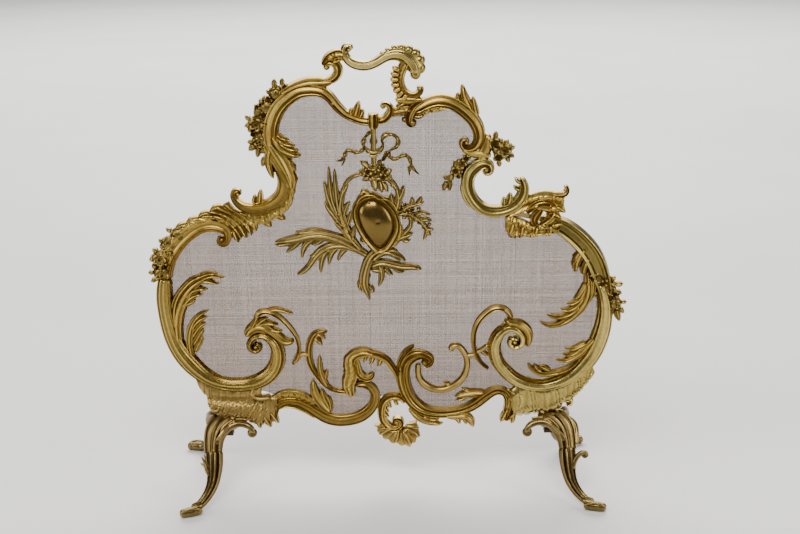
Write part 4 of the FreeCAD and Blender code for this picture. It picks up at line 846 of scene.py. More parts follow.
piece("cast_shoulder_leaf_left", LEAF_GOLD, [
    leaf([(-174, 566, 16), (-166, 549, 24), (-156, 532, 25), (-148, 516, 21), (-142, 500, 15),
        (-141, 486, 5)], 12, 2, teeth=(5, 7, .3), lanes=37),
    leaf([(-166, 572, 10), (-160, 558, 15), (-149, 548, 14), (-137, 543, 10), (-124, 541, 4)], 13, 3,
        teeth=(0, 4, .3)),
    leaf([(-160, 574, 7), (-152, 567, 8), (-141, 565, 3)], 10, 2),
    *leaves(11, 2, [(-158, 566, 8), (-149, 559, 9), (-141, 557, 7), (-133, 556, 3)], [(-156, 560, 8),
        (-146, 553, 9), (-136, 550, 7), (-128, 549, 3)], [(-170, 552, 9), (-174, 536, 12), (-172, 520, 9),
        (-167, 506, 4)]),
    *leaves(9, 2, [(-148, 530, 9), (-138, 524, 8), (-134, 516, 3)], [(-144, 512, 8), (-136, 504, 7),
        (-134, 496, 3)], [(-146, 496, 7), (-139, 488, 7), (-139, 480, 3)])])
piece("cast_shoulder_cap_right", GOLD, [
    bar([(152, 571, 8), (152, 560, 17), (149, 549, 22), (145, 538, 20), (142, 527, 10)], BROAD, 11,
        lanes=37),
    bar([(115, 549, 7), (124, 544, 12), (136, 541, 15), (149, 540, 13), (158, 536, 8)], BROAD, 12,
        lanes=37),
    leaf([(142, 550, 9), (133, 543, 10), (121, 536, 4)], 10, 2)])
piece("cast_handle_scroll", PALE_GOLD, [
    bar(spiral([(-57, 692, 12), (-52, 681, 14), (-42, 674.5, 15), (-27, 672, 15), (-13, 676, 15),
        (-2, 682.5, 16), (9, 688, 19), (22.5, 688.5, 22), (33, 684, 26), (41, 676, 28), (45, 667, 26),
        (44, 658, 14)], (-49.5, 696), -.6, at_start=True), section((-1, .3), (-.84, .56), (-.7, .48),
        (-.3, .94), (.2, 1), (.5, .74), (.78, .6), (1, .3)), 15, lanes=45),
    knob(-50, 696, 4, 13),
    *[knob(x, z, r, 10) for x, z, r in ((-1, 689, 4.5), (7, 693, 5.5), (16, 696, 6), (26, 696.5, 6.5),
        (36, 694, 7.5), (45.5, 688.5, 8.5), (51.5, 679, 9), (52, 668, 9), (46, 659, 8))]])
piece("cast_handle_left_scroll", GOLD, [
    bar([(-93, 650, 10), (-80, 651.5, 13), (-70, 657, 14), (-66.5, 666, 15), (-70, 675, 14), (-80, 678, 11),
        (-86, 671, 8)], TWO_REEDS, 12, lanes=37),
    knob(-83, 671, 5, 12),
    bar([(-88, 672, 9), (-81, 681, 17), (-71, 687, 20), (-61, 688, 18), (-52, 683, 11)], CUPPED, 13,
        ribs=(5, .2, .6), teeth=(5, 0, .2), lanes=37),
    knob(-73, 689, 4.5, 11)])
piece("cast_handle_right_scroll", GOLD, [
    bar([(35, 684, 12), (29, 672, 15), (23.5, 658, 15), (23.5, 644, 15), (28, 634.5, 15), (37, 629, 14),
        (46, 629.5, 12), (53, 635, 10), (55, 642, 7)], SCOOP, 12, lanes=33),
    knob(52, 639, 4.5, 11),
    bar([(16, 622, 7), (28, 622, 13), (42, 621, 14), (58, 622, 8)], roll, 9),
    *[bar([(x + a, z + b, 7), (x, z, 9.5), (x - .7 * a, z - .7 * b, 8)], roll, 10, step=1.2, lanes=17,
        point=(.5, .6)) for x, z, a, b in ((17, 668, 7, -3), (15, 660, 8, -1), (14.5, 652, 8, 0),
        (15.5, 644, 8, 1), (18, 636.5, 7, 4), (22.5, 630, 6, 6), (29, 625, 4, 7))]])

# ---------------------------------------------------------------- acanthus sprays and tendrils
piece("cast_acanthus_left_large", LEAF_GOLD, [
    bar([(-322, 200, 6), (-326, 232, 13), (-329, 262, 18), (-326, 292, 22), (-316, 316, 22),
        (-302, 335, 17), (-284, 348, 12), (-268, 353, 8), (-250, 350, 3)], LEAF, 13, lanes=41,
        point=(.5, 2), lift=2),
    leaf([(-330, 262, 8), (-331, 292, 12), (-325, 316, 12), (-313, 334, 10), (-298, 348, 8),
        (-282, 355, 3)], 12, 3),
    leaf([(-318, 312, 12), (-304, 326, 11), (-290, 333, 8), (-276, 332, 3)], 11, 4),
    leaf([(-322, 300, 11), (-308, 314, 10), (-297, 322, 8), (-284, 324, 3)], 10, 4),
    leaf([(-298, 340, 9), (-284, 345, 8), (-270, 344, 6), (-258, 341, 2)], 11, 4),
    leaf([(-316, 306, 9), (-306, 309, 7), (-296, 315, 2)], 9, 3),
    leaf([(-290, 350, 8), (-274, 357, 7), (-260, 357, 2)], 10, 3)])
piece("cast_acanthus_left_small", LEAF_GOLD, [
    bar([(-308, 216, 8), (-311, 238, 12), (-309, 260, 14), (-302, 278, 11), (-291, 290, 8), (-277, 298, 3)],
        LEAF, 10, lanes=31, point=(.5, 2), lift=3),
    *leaves(9, 4, [(-308, 262, 11), (-298, 276, 10), (-288, 284, 7), (-280, 287, 3)], [(-307, 250, 10),
        (-298, 264, 9), (-290, 273, 7), (-283, 277, 3)], [(-306, 238, 9), (-298, 250, 9), (-292, 260, 7),
        (-286, 267, 3)]),
    leaf([(-304, 226, 8), (-298, 238, 8), (-293, 247, 6), (-290, 254, 2)], 8, 3)])
piece("cast_scroll_leaf_left", LEAF_GOLD, [
    leaf([(-222, 252, 8), (-214, 263, 15), (-200, 268, 18), (-184, 261, 17), (-170, 249, 15),
        (-158, 243, 12), (-147, 246, 8)], 13, 2, point=(.5, .5)),
    *leaves(11, 3, [(-212, 262, 9), (-198, 272, 10), (-184, 275, 8), (-170, 272, 3)], [(-214, 262, 9),
        (-209, 272, 10), (-205, 280, 7), (-202, 288, 3)]),
    *leaves(10, 3, [(-204, 268, 8), (-196, 279, 8), (-186, 284, 3)], [(-186, 264, 8), (-174, 262, 8),
        (-164, 262, 3)])])
piece("cast_scroll_leaves_right", LEAF_GOLD, [
    bar([(219, 231, 7), (222, 246, 15), (216, 260, 19), (204, 268, 19), (192, 272, 15), (184, 278, 7)],
        section((-1, .3), (-.7, .7), (-.2, 1), (.3, .8), (.55, .5), (.85, .7), (1, .3)), 13, lift=2,
        lanes=37),
    bar([(302, 208, 5), (288, 195, 9), (270, 187, 11), (252, 184.5, 11), (238, 187, 9), (228, 194, 8),
        (222, 203, 4)], LEAF, 12, lift=3, point=(.5, 1.2)),
    *leaves(10, 3, [(246, 187, 8), (236, 194, 8), (231, 202, 3)], [(258, 188, 7), (248, 195, 7),
        (240, 199, 3)])])
piece("cast_acanthus_right_large", LEAF_GOLD, [
    leaf([(304, 392, 8), (295, 378, 13), (291, 366, 10), (290, 354, 4)], 13, 3, teeth=(4, 4, .25)),
    leaf([(310, 378, 8), (304, 364, 11), (301, 350, 4)], 14, 3),
    leaf([(300, 384, 7), (290, 374, 7), (284, 366, 2)], 11, 3),
    bar([(308, 356, 8), (311, 338, 14), (311, 320, 17), (305, 302, 18), (294, 287, 16), (279, 275, 13),
        (262, 268, 10), (249, 268, 7), (238, 274, 3)], LEAF, 13, lanes=41, point=(.5, 2), lift=3),
    *leaves(11, 4, [(302, 300, 12), (288, 287, 11), (272, 281, 8), (258, 282, 6), (248, 286, 2)],
        [(306, 312, 12), (295, 299, 11), (283, 293, 8), (270, 294, 3)]),
    leaf([(308, 326, 11), (300, 311, 10), (290, 304, 7), (279, 303, 3)], 10, 4),
    leaf([(310, 338, 9), (303, 324, 9), (296, 315, 7), (289, 312, 3)], 9, 4),
    leaf([(316, 346, 7), (319, 330, 9), (316, 314, 8), (308, 300, 3)], 9, 2)])
piece("cast_acanthus_right_small", LEAF_GOLD, [
    bar([(326, 246, 8), (316, 232, 13), (303, 219, 13), (290, 210, 11), (277, 207, 8), (265, 209, 3)], LEAF,
        10, lanes=31, point=(.5, 2), lift=3),
    *leaves(9, 4, [(314, 236, 9), (301, 229, 9), (290, 226, 7), (279, 228, 3)], [(306, 228, 8),
        (294, 218, 8), (284, 216, 6), (275, 219, 2)])])
piece("cast_tendril_left_outer", COPPERY_GOLD, [
    bar([(-206, 282, 8), (-198, 291, 11), (-184, 292, 10), (-169, 284, 9), (-157, 272, 8), (-149, 261, 7.5),
        (-143, 250, 7), (-140, 238, 7), (-140, 226, 7), (-143, 214, 7), (-151, 203, 4)], TWO_REEDS, 8,
        lanes=25),
    leaf([(-188, 293, 8), (-174, 296, 8), (-160, 294, 6), (-146, 290, 3)], 8, 3),
    leaf([(-140, 224, 6), (-144, 212, 8), (-152, 205, 4)], 8, 1),
    knob(-204, 284, 5, 9)])
piece("cast_tendril_left_inner", COPPERY_GOLD, [
    bar([(-94, 258, 4), (-104, 259, 8), (-114, 254, 11), (-121.5, 241, 12), (-124.5, 225, 12),
        (-123.5, 209, 11.5), (-118, 193, 10), (-110, 180, 9), (-100, 168, 9), (-88, 160, 8.5),
        (-76, 156.5, 8.5), (-62, 155, 8)], CUPPED, 8, lanes=25),
    *leaves(8, 3, [(-112, 256, 7), (-104, 252, 8), (-97, 246, 3)], [(-116, 248, 7), (-108, 243, 7),
        (-103, 236, 3)], [(-96, 164, 6), (-103, 178, 9), (-107, 192, 9), (-108, 206, 7), (-107, 220, 3)]),
    leaf([(-100, 176, 6), (-98, 188, 6), (-96, 196, 2)], 7, 3),
    bar([(-124, 219, 7), (-131, 220.5, 8), (-140, 219, 7)], roll, 7)])
piece("cast_tendril_right_lower", COPPERY_GOLD, [
    bar(spiral([(48.6, 204, 9), (48, 190, 10), (51, 176, 11), (60, 165, 12), (74, 158.5, 12),
        (89.5, 158, 12), (103, 163, 12), (114.5, 171.5, 11), (122, 183, 11), (125.6, 195, 10),
        (125.6, 207, 10), (122, 218.4, 10), (116, 227.6, 10), (108, 233, 10), (101, 231, 9)], (103, 227),
        .3, .8), roll, 9, lanes=25),
    leaf([(100, 160, 7), (94, 168, 6), (88, 170, 2)], 7, 2),
    knob(102, 228, 4.5, 9)])
piece("cast_tendril_right_upper", COPPERY_GOLD, [
    bar([(160, 193, 5), (150, 200.6, 7), (143, 210.5, 8), (139, 220, 8), (136, 233, 8), (135.5, 247, 8.5),
        (137.6, 261, 9), (143, 273.5, 10), (150, 283, 10), (160, 291.5, 11), (170, 296, 11), (181, 295, 10),
        (189, 289, 8), (191, 280, 7), (191, 273, 5)], TWO_REEDS, 8, lanes=25),
    leaf([(182, 294, 7), (190, 287, 8), (196, 279, 4)], 9, 2),
    bar([(120, 213, 8), (129, 215.5, 9), (140, 217, 8)], roll, 7),
    bar([(139, 221, 8), (149, 226, 7), (160, 234, 9)], roll, 7),
    leaf([(148, 224, 6), (154, 219, 6), (161, 217, 2)], 7, 2)])

# ---------------------------------------------------------------- flower clusters
piece("cast_flowers_shoulder_left", FLOWER_GOLD, [
    *blossoms((-186, 613, 6.5, 12, .2), (-194, 574, 6, 12), (-174, 589, 7, 13, .5), (-164, 613, 6, 12)),
    *knobs((-180, 622, 4.5, 11), (-199, 580, 4, 11), (-193, 566, 4, 12)),
    blossom(-189, 588, 12, 15),
    *buds((-196, 587, -207, 586, 8), (-190, 600, -184, 614, 9), (-198, 594, -205, 602, 7)),
    *blossoms((-177, 602, 7, 13, .8), (-182, 575, 7, 13, .1), (-170, 624, 7.5, 12, .5),
        (-158, 636, 8.5, 12, .9), (-145, 642, 6.5, 11)),
    *buds((-161, 640, -160, 655, 7), (-150, 644, -148, 656, 6), (-170, 628, -180, 624, 8),
        (-176, 612, -188, 612, 8), (-163, 632, -173, 638, 7), (-179, 606, -189, 608, 7)),
    blossom(-185, 562, 10, 14, .6),
    *buds((-192, 557, -203, 549, 9), (-187, 554, -190, 538, 8), (-193, 563, -204, 561, 7),
        (-177, 540, -184, 524, 9), (-174, 552, -186, 545, 8)),
    *spray(-189, 588, 12, 9, 3),
    *spray(-185, 562, 10, 7, 5),
    *spray(-158, 636, 8, 7, 8, length=5),
    *[knob(x, z, r, 9) for x, z, r in ((-187, 588, 14), (-183, 566, 13), (-172, 612, 12), (-158, 632, 10))]
])
piece("cast_flowers_side_left", FLOWER_GOLD, [
    blossom(-347, 381, 12.5, 16),
    *buds((-356, 382, -364, 379, 9), (-350, 392, -358, 398, 8)),
    *blossoms((-336, 394, 9.5, 15, .8), (-345, 356, 13.5, 16, .6), (-340, 369, 8, 17, .3)),
    *buds((-357, 360, -367, 359, 7), (-355, 349, -364, 345, 7)),
    *blossoms((-333, 408, 10, 14), (-322, 419, 9, 13, .4), (-309, 429, 8, 12), (-297, 437, 6, 11)),
    *buds((-338, 346, -334, 334, 9), (-346, 344, -344, 332, 8), (-340, 408, -347, 413, 7),
        (-327, 424, -334, 431, 7)),
    *knobs((-356, 370, 5, 12), (-342, 402, 4.5, 12), (-326, 386, 4, 13)),
    *spray(-348, 382, 10, 8, 2),
    *spray(-347, 356, 11, 9, 6, length=5),
    *spray(-333, 409, 7, 6, 9, length=4),
    *[knob(x, z, r, 10) for x, z, r in ((-346, 381, 14), (-344, 358, 15), (-331, 406, 12),
        (-317, 420, 11))]])
piece("cast_flowers_shoulder_right", FLOWER_GOLD, [
    blossom(163, 556, 11, 14),
    bud(164, 562, 165, 575, 7),
    *blossoms((177, 546, 12.5, 15, .7), (170, 552, 6, 17)),
    *buds((184, 547, 194, 552, 7), (184, 540, 193, 535, 7), (178, 554, 184, 562, 7)),
    blossom(169, 535, 9, 13),
    *buds((170, 529, 171, 520, 7), (180, 537, 186, 527, 7)),
    *knobs((186, 552, 4.5, 10), (172, 560, 4, 10)),
    *spray(177, 546, 9, 8, 4),
    *spray(163, 556, 8, 6, 7, length=5),
    *blossoms((114, 526, 9, 12), (105, 515, 8.5, 11, .7), (121, 534, 6.5, 11), (110, 507, 5, 9)),
    knob(110, 519, 4, 10),
    *buds((102, 510, 95, 499, 8), (98, 504, 86, 506, 7), (93, 498, 86, 485, 7), (97, 500, 96, 484, 7),
        (108, 524, 101, 530, 6), (110, 513, 114, 504, 6)),
    *knobs((91, 496, 3.5, 8), (111, 522, 10, 8), (172, 547, 13, 10))])
piece("cast_flowers_side_right", FLOWER_GOLD, [
    *blossoms((318, 346, 8.5, 20), (331, 334, 9, 17, .2), (344, 327, 12, 16, .6)),
    *buds((353, 332, 366, 334, 8), (353, 321, 365, 318, 8), (346, 339, 354, 346, 8)),
    *blossoms((356, 301, 9, 14), (346, 312, 8, 15)),
    *buds((363, 304, 373, 304, 6), (361, 294, 370, 286, 7), (357, 292, 363, 272, 9),
        (350, 296, 349, 280, 8), (322, 338, 315, 326, 8), (310, 350, 302, 358, 7), (326, 322, 318, 312, 8)),
    *knobs((356, 314, 5, 13), (338, 342, 4.5, 16), (310, 336, 4.5, 15)),
    *spray(344, 327, 12, 9, 3),
    *spray(356, 301, 9, 8, 5),
    *spray(318, 346, 8, 7, 6, length=5),
    *[knob(x, z, r, 10) for x, z, r in ((342, 327, 14), (354, 302, 11), (324, 340, 13))]])

# ---------------------------------------------------------------- feet
SADDLE = section((-1, .1), (-.74, .9), (-.5, .3), (-.18, 1), (.1, .5), (.4, .95), (.62, .3), (.86, .8),
    (1, .1))
UPPER_LEG = [(250, -5, 112, 46, 14), (264, -15, 112, 46, 17), (277, -29, 102, 39, 19),
    (282, -42, 87, 32, 18), (283, -54, 73, 29, 16)]
LOWER_LEG = [(281, -52, 80, 28, 14), (281.5, -61, 63, 28, 16), (282.5, -68, 48, 24, 15),
    (286, -76, 33, 20, 13), (294, -86, 20, 17, 11), (304, -97, 12, 16, 9), (314, -106, 8, 18, 8)]
INNER_SCROLL = [(277, -46, 84, 12, 12), (271, -38, 95, 15, 13), (260, -29, 104, 17, 13),
    (246, -24, 109, 17, 12), (232, -24, 107, 15, 11), (222, -28, 101, 13, 10), (219, -31, 93, 11, 9)]
DEPTH = (0, 1, 0)


def cabriole():
    """one leg, to the front right: a broad fluted knee, a narrower fluted shin that starts under its lip,
    and a rolled toe"""
    return [limb([(243, -11, 98, 15, 12), (258, -12, 108, 34, 13), (262, -9, 120, 30, 12)], roll),
            limb(UPPER_LEG, SADDLE, lanes=45, point=(.3, .12)),
            limb(LOWER_LEG, SADDLE, lanes=45, point=(.2, .3)),
            lying_roll((319, -110, 7), (.97, -.24, 0), 7.4, 17.5),
            limb([(300, -96, 13, 12, 6), (309, -102, 13, 15, 6), (318, -107, 12, 15, 5)], SADDLE, lanes=25),
            limb([(303, -108, 9, 4, 4), (308, -113, 13, 4, 4), (318, -115, 15, 4, 4), (328, -117, 13, 4, 4),
                  (334, -116, 9, 4, 4)], roll, DEPTH, lanes=13)]


def inner_volute():
    """the scroll that turns in from the knee, with a bead along its top"""
    return [limb(INNER_SCROLL, TWO_REEDS, DEPTH, lanes=25), knob(221, 94, 8, 8, back=-27),
            limb([(284, -54, 78, 4, 5), (276, -40, 93, 5, 6), (262, -26, 110, 5, 6), (244, -20, 115, 4, 5),
                  (228, -20, 113, 4, 5)], roll, DEPTH, lanes=13)]


def outer_ball():
    """the stalk with a ball that turns out from the shin of the right foot"""
    return [limb([(290, -68, 48, 8, 8), (293, -64, 60, 9, 9), (299, -61, 69, 9, 9), (307, -61, 74, 8, 8),
                  (312, -62, 70, 7, 7)], roll, DEPTH, lanes=17), knob(309, 69, 6, 6, back=-58),
            limb([(286, -14, 112, 8, 8), (296, -22, 106, 8, 8), (299, -36, 94, 7, 8), (296, -50, 80, 6, 6)],
                 roll, lanes=17)]


def outer_leaf():
    """the three leaf tips that stand out from the shin of the left foot"""
    return [limb(line, LEAF, DEPTH) for line in (
        [(290, -70, 44, 6, 6), (295, -66, 54, 8, 6), (297, -62, 64, 7, 5), (301, -60, 74, 3, 3)],
        [(290, -68, 50, 6, 6), (296, -64, 58, 7, 5), (303, -62, 64, 3, 3)],
        [(289, -64, 56, 5, 5), (294, -60, 66, 6, 4), (297, -57, 77, 2, 2)])]


def rear(shapes):
    """the front foot's shapes behind the screen"""
    return [rings * np.array([1, -1, 1.0]) for rings in shapes]


def left(shapes):
    """the right foot's shapes on the left, where the foot stands 7 degrees round on its bolt"""
    return [moved(rings, True, 7.0, (-258, 0)) for rings in shapes]


HUB = lying_roll((258, 0, 96), (0, 0, 1.0), 17, 11)
piece("cast_leg_front_right", LEG_GOLD, [*cabriole(), *inner_volute(), *outer_ball()])
piece("cast_leg_front_left", LEG_GOLD, left(cabriole() + inner_volute() + outer_leaf()))
piece("cast_leg_rear_right", LEG_GOLD, [*rear(cabriole()), HUB])
piece("cast_leg_rear_left", LEG_GOLD, left(rear(cabriole()) + [HUB]))

# ---------------------------------------------------------------- trophy
RIM = [(-16, 481), (-32, 478), (-44, 470), (-49.5, 458), (-48.5, 443), (-44, 429), (-37, 415), (-29, 403),
    (-20, 392), (-10, 386), (2, 391), (12, 404), (19, 419), (21, 434), (17, 449), (9, 463), (-2, 474)]
HEART = (-17, 438)


def shrunk(share):
    """the cartouche's outline drawn in towards its heart"""
    return [(HEART[0] + (x - HEART[0]) * share, HEART[1] + (z - HEART[1]) * share) for x, z in RIM]


def loop_bar(outline, width, relief, form):
    """a moulding round a closed outline: the section at each place, closed behind by two more points"""
    line = dense(outline, closed=True, fine=8)
    go = unit(np.gradient(np.vstack([line[-2:-1], line, line[1:2]]), axis=0)[1:-1])
    u = across(33)[None, :]
    front = np.stack([line[:, :1] - go[:, 1:] * u * width / 2, -relief * form(u) + 0 * line[:, :1],
                      line[:, 1:2] + go[:, :1] * u * width / 2], -1)
    behind = front[:, [-1, 0], :] * .7 + front[:, [0, -1], :] * .3
    behind[..., 1] = 0
    return np.concatenate([front, behind], 1)


def boss(outline, relief, power, dent):
    """a smooth dome inside an outline: rings shrink to the heart and rise as (1 - r^power)^(1/2), less a
    bell-shaped dent of (x, z, radius, depth)"""
    edge = dense(outline, closed=True, fine=8)[:-1]
    rho = np.sin(np.linspace(0.03, np.pi / 2, 26))[:, None]
    x, z = HEART[0] + (edge[:, 0] - HEART[0]) * rho, HEART[1] + (edge[:, 1] - HEART[1]) * rho
    y = relief * np.sqrt(np.clip(1 - rho ** power, 0, 1)) + 0 * x
    y = y - dent[3] * np.exp(-((x - dent[0]) ** 2 + (z - dent[1]) ** 2) / dent[2] ** 2)
    return np.stack([x, -y, z], -1)


piece("cast_cartouche_dome", MIRROR_GOLD, [
    boss(shrunk(.84), 17, 2.1, (-12, 440, 2.6, .8))])
piece("cast_cartouche_rim", GOLD, [
    loop_bar(shrunk(.91), 10.5, 12, section((-1, .3), (-.76, .72), (-.56, .56), (-.05, 1), (.35, .84),
        (.6, .56), (.8, .62), (1, .3))),
    bar([(-44, 466, 5), (-38, 476, 8), (-27, 481, 9), (-16, 479, 8), (-8, 473, 5)], LEAF, 14),
    bar([(-24, 478, 6), (-28, 484, 7), (-34, 486, 6), (-36, 480, 4)], roll, 12),
    knob(-25, 470, 3.2, 14),
    bar([(-8, 474, 6), (4, 472, 8), (14, 462, 7), (20, 450, 5)], LEAF, 12),
    bar([(-26, 400, 7), (-30, 408, 9), (-36, 411, 8), (-38, 405, 6)], TWO_REEDS, 12),
    knob(-34, 406, 3.5, 12),
    leaf([(10, 398, 6), (17, 408, 9), (22, 422, 7), (22, 434, 3)], 9, 1)])
piece("cast_trophy_rod", TROPHY_GOLD, [
    limb([(-17, -4.6, 592, 7, 7), (-17, -4.6, 575, 8, 8), (-17, -4.6, 560, 8, 8), (-17, -4.6, 545, 9, 8),
        (-17, -4.6, 534, 8, 8), (-16, -4.6, 518, 8, 8), (-14, -4.6, 502, 7, 8)], THREE_REEDS,
        point=(.2, .3)),
    limb([(-23, -8, 541, 5, 5), (-17, -10, 539, 5, 5), (-11, -8, 541, 5, 5)], roll, (0, 0, 1)),
    limb([(-23, -8, 547, 4, 4), (-17, -10, 545, 4, 4), (-11, -8, 547, 4, 4)], roll, (0, 0, 1)),
    limb([(-22, -7, 583, 4, 4), (-17, -9, 582, 4, 4), (-12, -7, 583, 4, 4)], roll, (0, 0, 1))])


def ribbon(points, cycles=3.0):
    """a ribbon that turns as it goes: a band whose height waves along it and whose width breathes with it"""
    line = dense(points)
    share = run(line) / run(line)[-1]
    keep = line[::6].copy()
    keep[:, 2] *= 1 + .28 * np.sin(2 * np.pi * cycles * share[::6])
    return bar(keep, CUPPED, 6.0, lanes=21, step=1.6, ribs=(cycles * 2.5, .3, .6), point=(.5, 1.2), lift=2.2)


piece("cast_trophy_ribbon", TROPHY_GOLD, [
    ribbon([(-20, 576, 4), (-28, 568, 6), (-32, 558, 6.5), (-29, 550, 6), (-22, 545, 6), (-14, 543, 6)]),
    ribbon([(-14, 543, 6), (-7, 547, 7), (-3, 554, 6), (-4, 562, 6), (0, 569, 7), (9, 571, 7), (17, 567, 7),
        (20, 559, 6.5), (17, 552, 6), (10, 548, 6), (5, 544, 6)]),
    ribbon([(5, 545, 6), (6, 538, 7), (12, 534, 7), (20, 535, 6.5), (28, 539, 6.5), (35, 536, 6.5),
        (38, 528, 6), (39, 521, 6)], cycles=4),
    ribbon([(38, 524, 6), (43, 517, 5), (51, 510, 2.5)], cycles=1),
    ribbon([(38, 523, 6), (36, 515, 5), (37, 508, 2.5)], cycles=1),
    ribbon([(-31, 549, 6), (-40, 544, 6.5), (-48, 546, 6.5), (-56, 547, 6), (-60, 540, 6), (-62, 533, 5)],
        cycles=4),
    ribbon([(-61, 538, 5), (-65, 533, 4), (-73, 532, 2)], cycles=1),
    ribbon([(-61, 536, 5), (-62, 530, 4), (-65, 524, 2)], cycles=1),
    bar([(5, 546, 6), (0, 538, 7), (-4, 531, 4)], CUPPED, 9)])
piece("cast_trophy_flowers", TROPHY_GOLD, [
    *blossoms((-14, 512, 11, 14, 0.3, 6), (-3, 506, 8, 12, .8), (-26, 515, 7.5, 11, .4),
        (-5, 520, 7, 12, .2), (-17, 524, 6, 11)),
    *knobs((4, 514, 5, 10), (-22, 504, 4.5, 10)),
    *buds((-24, 520, -37, 533, 8), (-30, 514, -40, 518, 7), (2, 516, 11, 517, 8), (-22, 506, -35, 502, 7),
        (2, 508, 11, 503, 8), (-10, 524, -6, 534, 6)),
    leaf([(-28, 510, 5), (-44, 509, 5), (-56, 501, 5), (-62, 489, 6), (-64, 478, 5)], 7, 0, point=(.5, .5)),
    knob(-36, 511, 4, 8),
    *buds((-18, 506, -14, 484, 10), (-8, 502, -5, 482, 9), (-5, 500, 4, 484, 7)),
    leaf([(-3, 505, 6), (8, 500, 6), (14, 492, 7), (21, 482, 4)], 8, 0),
    bud(8, 498, 13, 490, 7),
    *spray(-14, 512, 10, 8, 4)])
piece("cast_palm_branch", TROPHY_GOLD, [
    bar([(-36, 388, 9), (-44, 398, 12), (-54, 411, 15), (-62, 427, 18), (-67, 444, 18), (-69, 462, 14),
        (-66, 478, 10), (-62, 494, 5)], LEAF, 10, lanes=37),
    leaf([(-68, 440, 10), (-73, 468, 10), (-75, 492, 7), (-76, 520, 2.5)], 9, 2),
    leaf([(-72, 446, 9), (-80, 470, 9), (-83, 492, 7), (-84.5, 524, 2.5)], 9, 3),
    *leaves(8, 3, [(-68, 438, 9), (-82, 462, 9), (-88, 482, 7), (-92, 502, 2.5)], [(-64, 428, 9),
        (-76, 444, 9), (-86, 458, 7), (-92, 470, 2.5)]),
    *leaves(8, 2, [(-58, 418, 8), (-70, 430, 8), (-79, 440, 3)], [(-67, 462, 8), (-66, 478, 8),
        (-60, 490, 6), (-55, 500, 2)]),
    *leaves(8, 3, [(-64, 446, 7), (-60, 460, 7), (-54, 470, 2.5)], [(-60, 430, 7), (-55, 444, 7),
        (-52, 456, 2.5)]),
    leaf([(-50, 410, 7), (-50, 422, 6), (-47, 432, 2)], 8, 2),
    *blossoms((-64, 430, 6.5, 13), (-56, 421, 5, 12)),
    *knobs((-70, 450, 4.5, 12), (-50, 412, 4, 11), (-74, 440, 4, 11))])
piece("cast_trophy_acanthus_left", TROPHY_GOLD, [
    leaf([(-28, 384, 9), (-44, 394, 12), (-62, 405, 15), (-82, 413, 16), (-102, 417, 16), (-122, 415, 14),
        (-140, 411, 12), (-156, 409, 8), (-170, 407, 3)], 11, 2, lanes=37),
    *leaves(9, 3, [(-92, 420, 9), (-110, 423, 9), (-124, 422, 7), (-138, 422.5, 2.5)], [(-130, 412, 9),
        (-146, 405, 9), (-158, 403, 7), (-170, 402, 2.5)]),
    *leaves(8, 3, [(-126, 412, 8), (-138, 402, 8), (-146, 395, 6), (-154, 390, 2.5)], [(-108, 412, 9),
        (-120, 404, 9), (-127, 393, 7), (-129, 380, 2.5)]),
    leaf([(-94, 412, 8), (-106, 404, 7), (-114, 401, 2.5)], 8, 2),
    leaf([(-40, 390, 8), (-60, 398, 11), (-80, 399, 12), (-98, 392, 12), (-110, 380, 10), (-120, 366, 8),
        (-130, 358, 6), (-138, 354, 2.5)], 10, 2, lanes=31),
    *leaves(8, 3, [(-84, 398, 9), (-95, 386, 9), (-100, 372, 7), (-101, 356, 2.5)], [(-74, 398, 8),
        (-83, 388, 8), (-87, 378, 6), (-88, 369, 2.5)], [(-60, 396, 8), (-68, 388, 7), (-72, 382, 5),
        (-74, 375, 2.5)]),
    leaf([(-102, 388, 7), (-112, 384, 6), (-118, 384, 2)], 7, 2)])
piece("cast_trophy_flower_branch", TROPHY_GOLD, [
    leaf([(10, 400, 7), (20, 410, 9), (30, 414, 8), (42, 420, 4)], 9, 2),
    leaf([(22, 412, 6), (28, 407, 6), (38, 408, 2.5)], 8, 2),
    leaf([(24, 414, 7), (32, 422, 7), (38, 432, 6), (36, 442, 5)], 8, 0),
    bar([(18, 448, 7), (30, 450, 9), (42, 446, 10), (52, 438, 9), (60, 428, 8), (68, 414, 4)], LEAF, 9),
    leaf([(14, 452, 8), (19, 466, 10), (19, 480, 8), (16, 493, 3)], 10, 2),
    leaf([(18, 470, 8), (24, 480, 8), (28, 494, 3)], 10, 3),
    leaf([(12, 462, 7), (10, 472, 7), (8, 482, 3)], 9, 2),
    *leaves(8, 2, [(20, 452, 7), (34, 460, 8), (46, 464, 6), (59, 468, 2.5)], [(38, 461, 6), (40, 469, 6),
        (39, 476, 2.5)], [(46, 464, 6), (52, 470, 6), (54, 477, 2.5)], [(44, 446, 6), (56, 450, 6),
        (68, 447, 2.5)], [(52, 438, 6), (62, 440, 6), (70, 437, 2.5)]),
    *leaves(7, 2, [(60, 426, 6), (68, 424, 5), (73, 426, 2)], [(62, 424, 6), (60, 414, 5), (56, 408, 2)]),
    leaf([(36, 446, 6), (38, 436, 6), (34, 428, 2.5)], 8, 2),
    *blossoms((24, 456, 6.5, 12), (34, 449, 6, 12, .7), (44, 447, 5.5, 11), (52, 437, 5.5, 11, .3),
        (59, 428, 5, 10), (40, 456, 4.5, 10), (30, 462, 4.5, 10)),
    *knobs((64, 418, 3.5, 9), (46, 440, 3.5, 10), (28, 444, 4, 10), (50, 456, 3.5, 9), (66, 432, 3, 8)),
    *spray(44, 444, 5, 7, 2, length=6)])
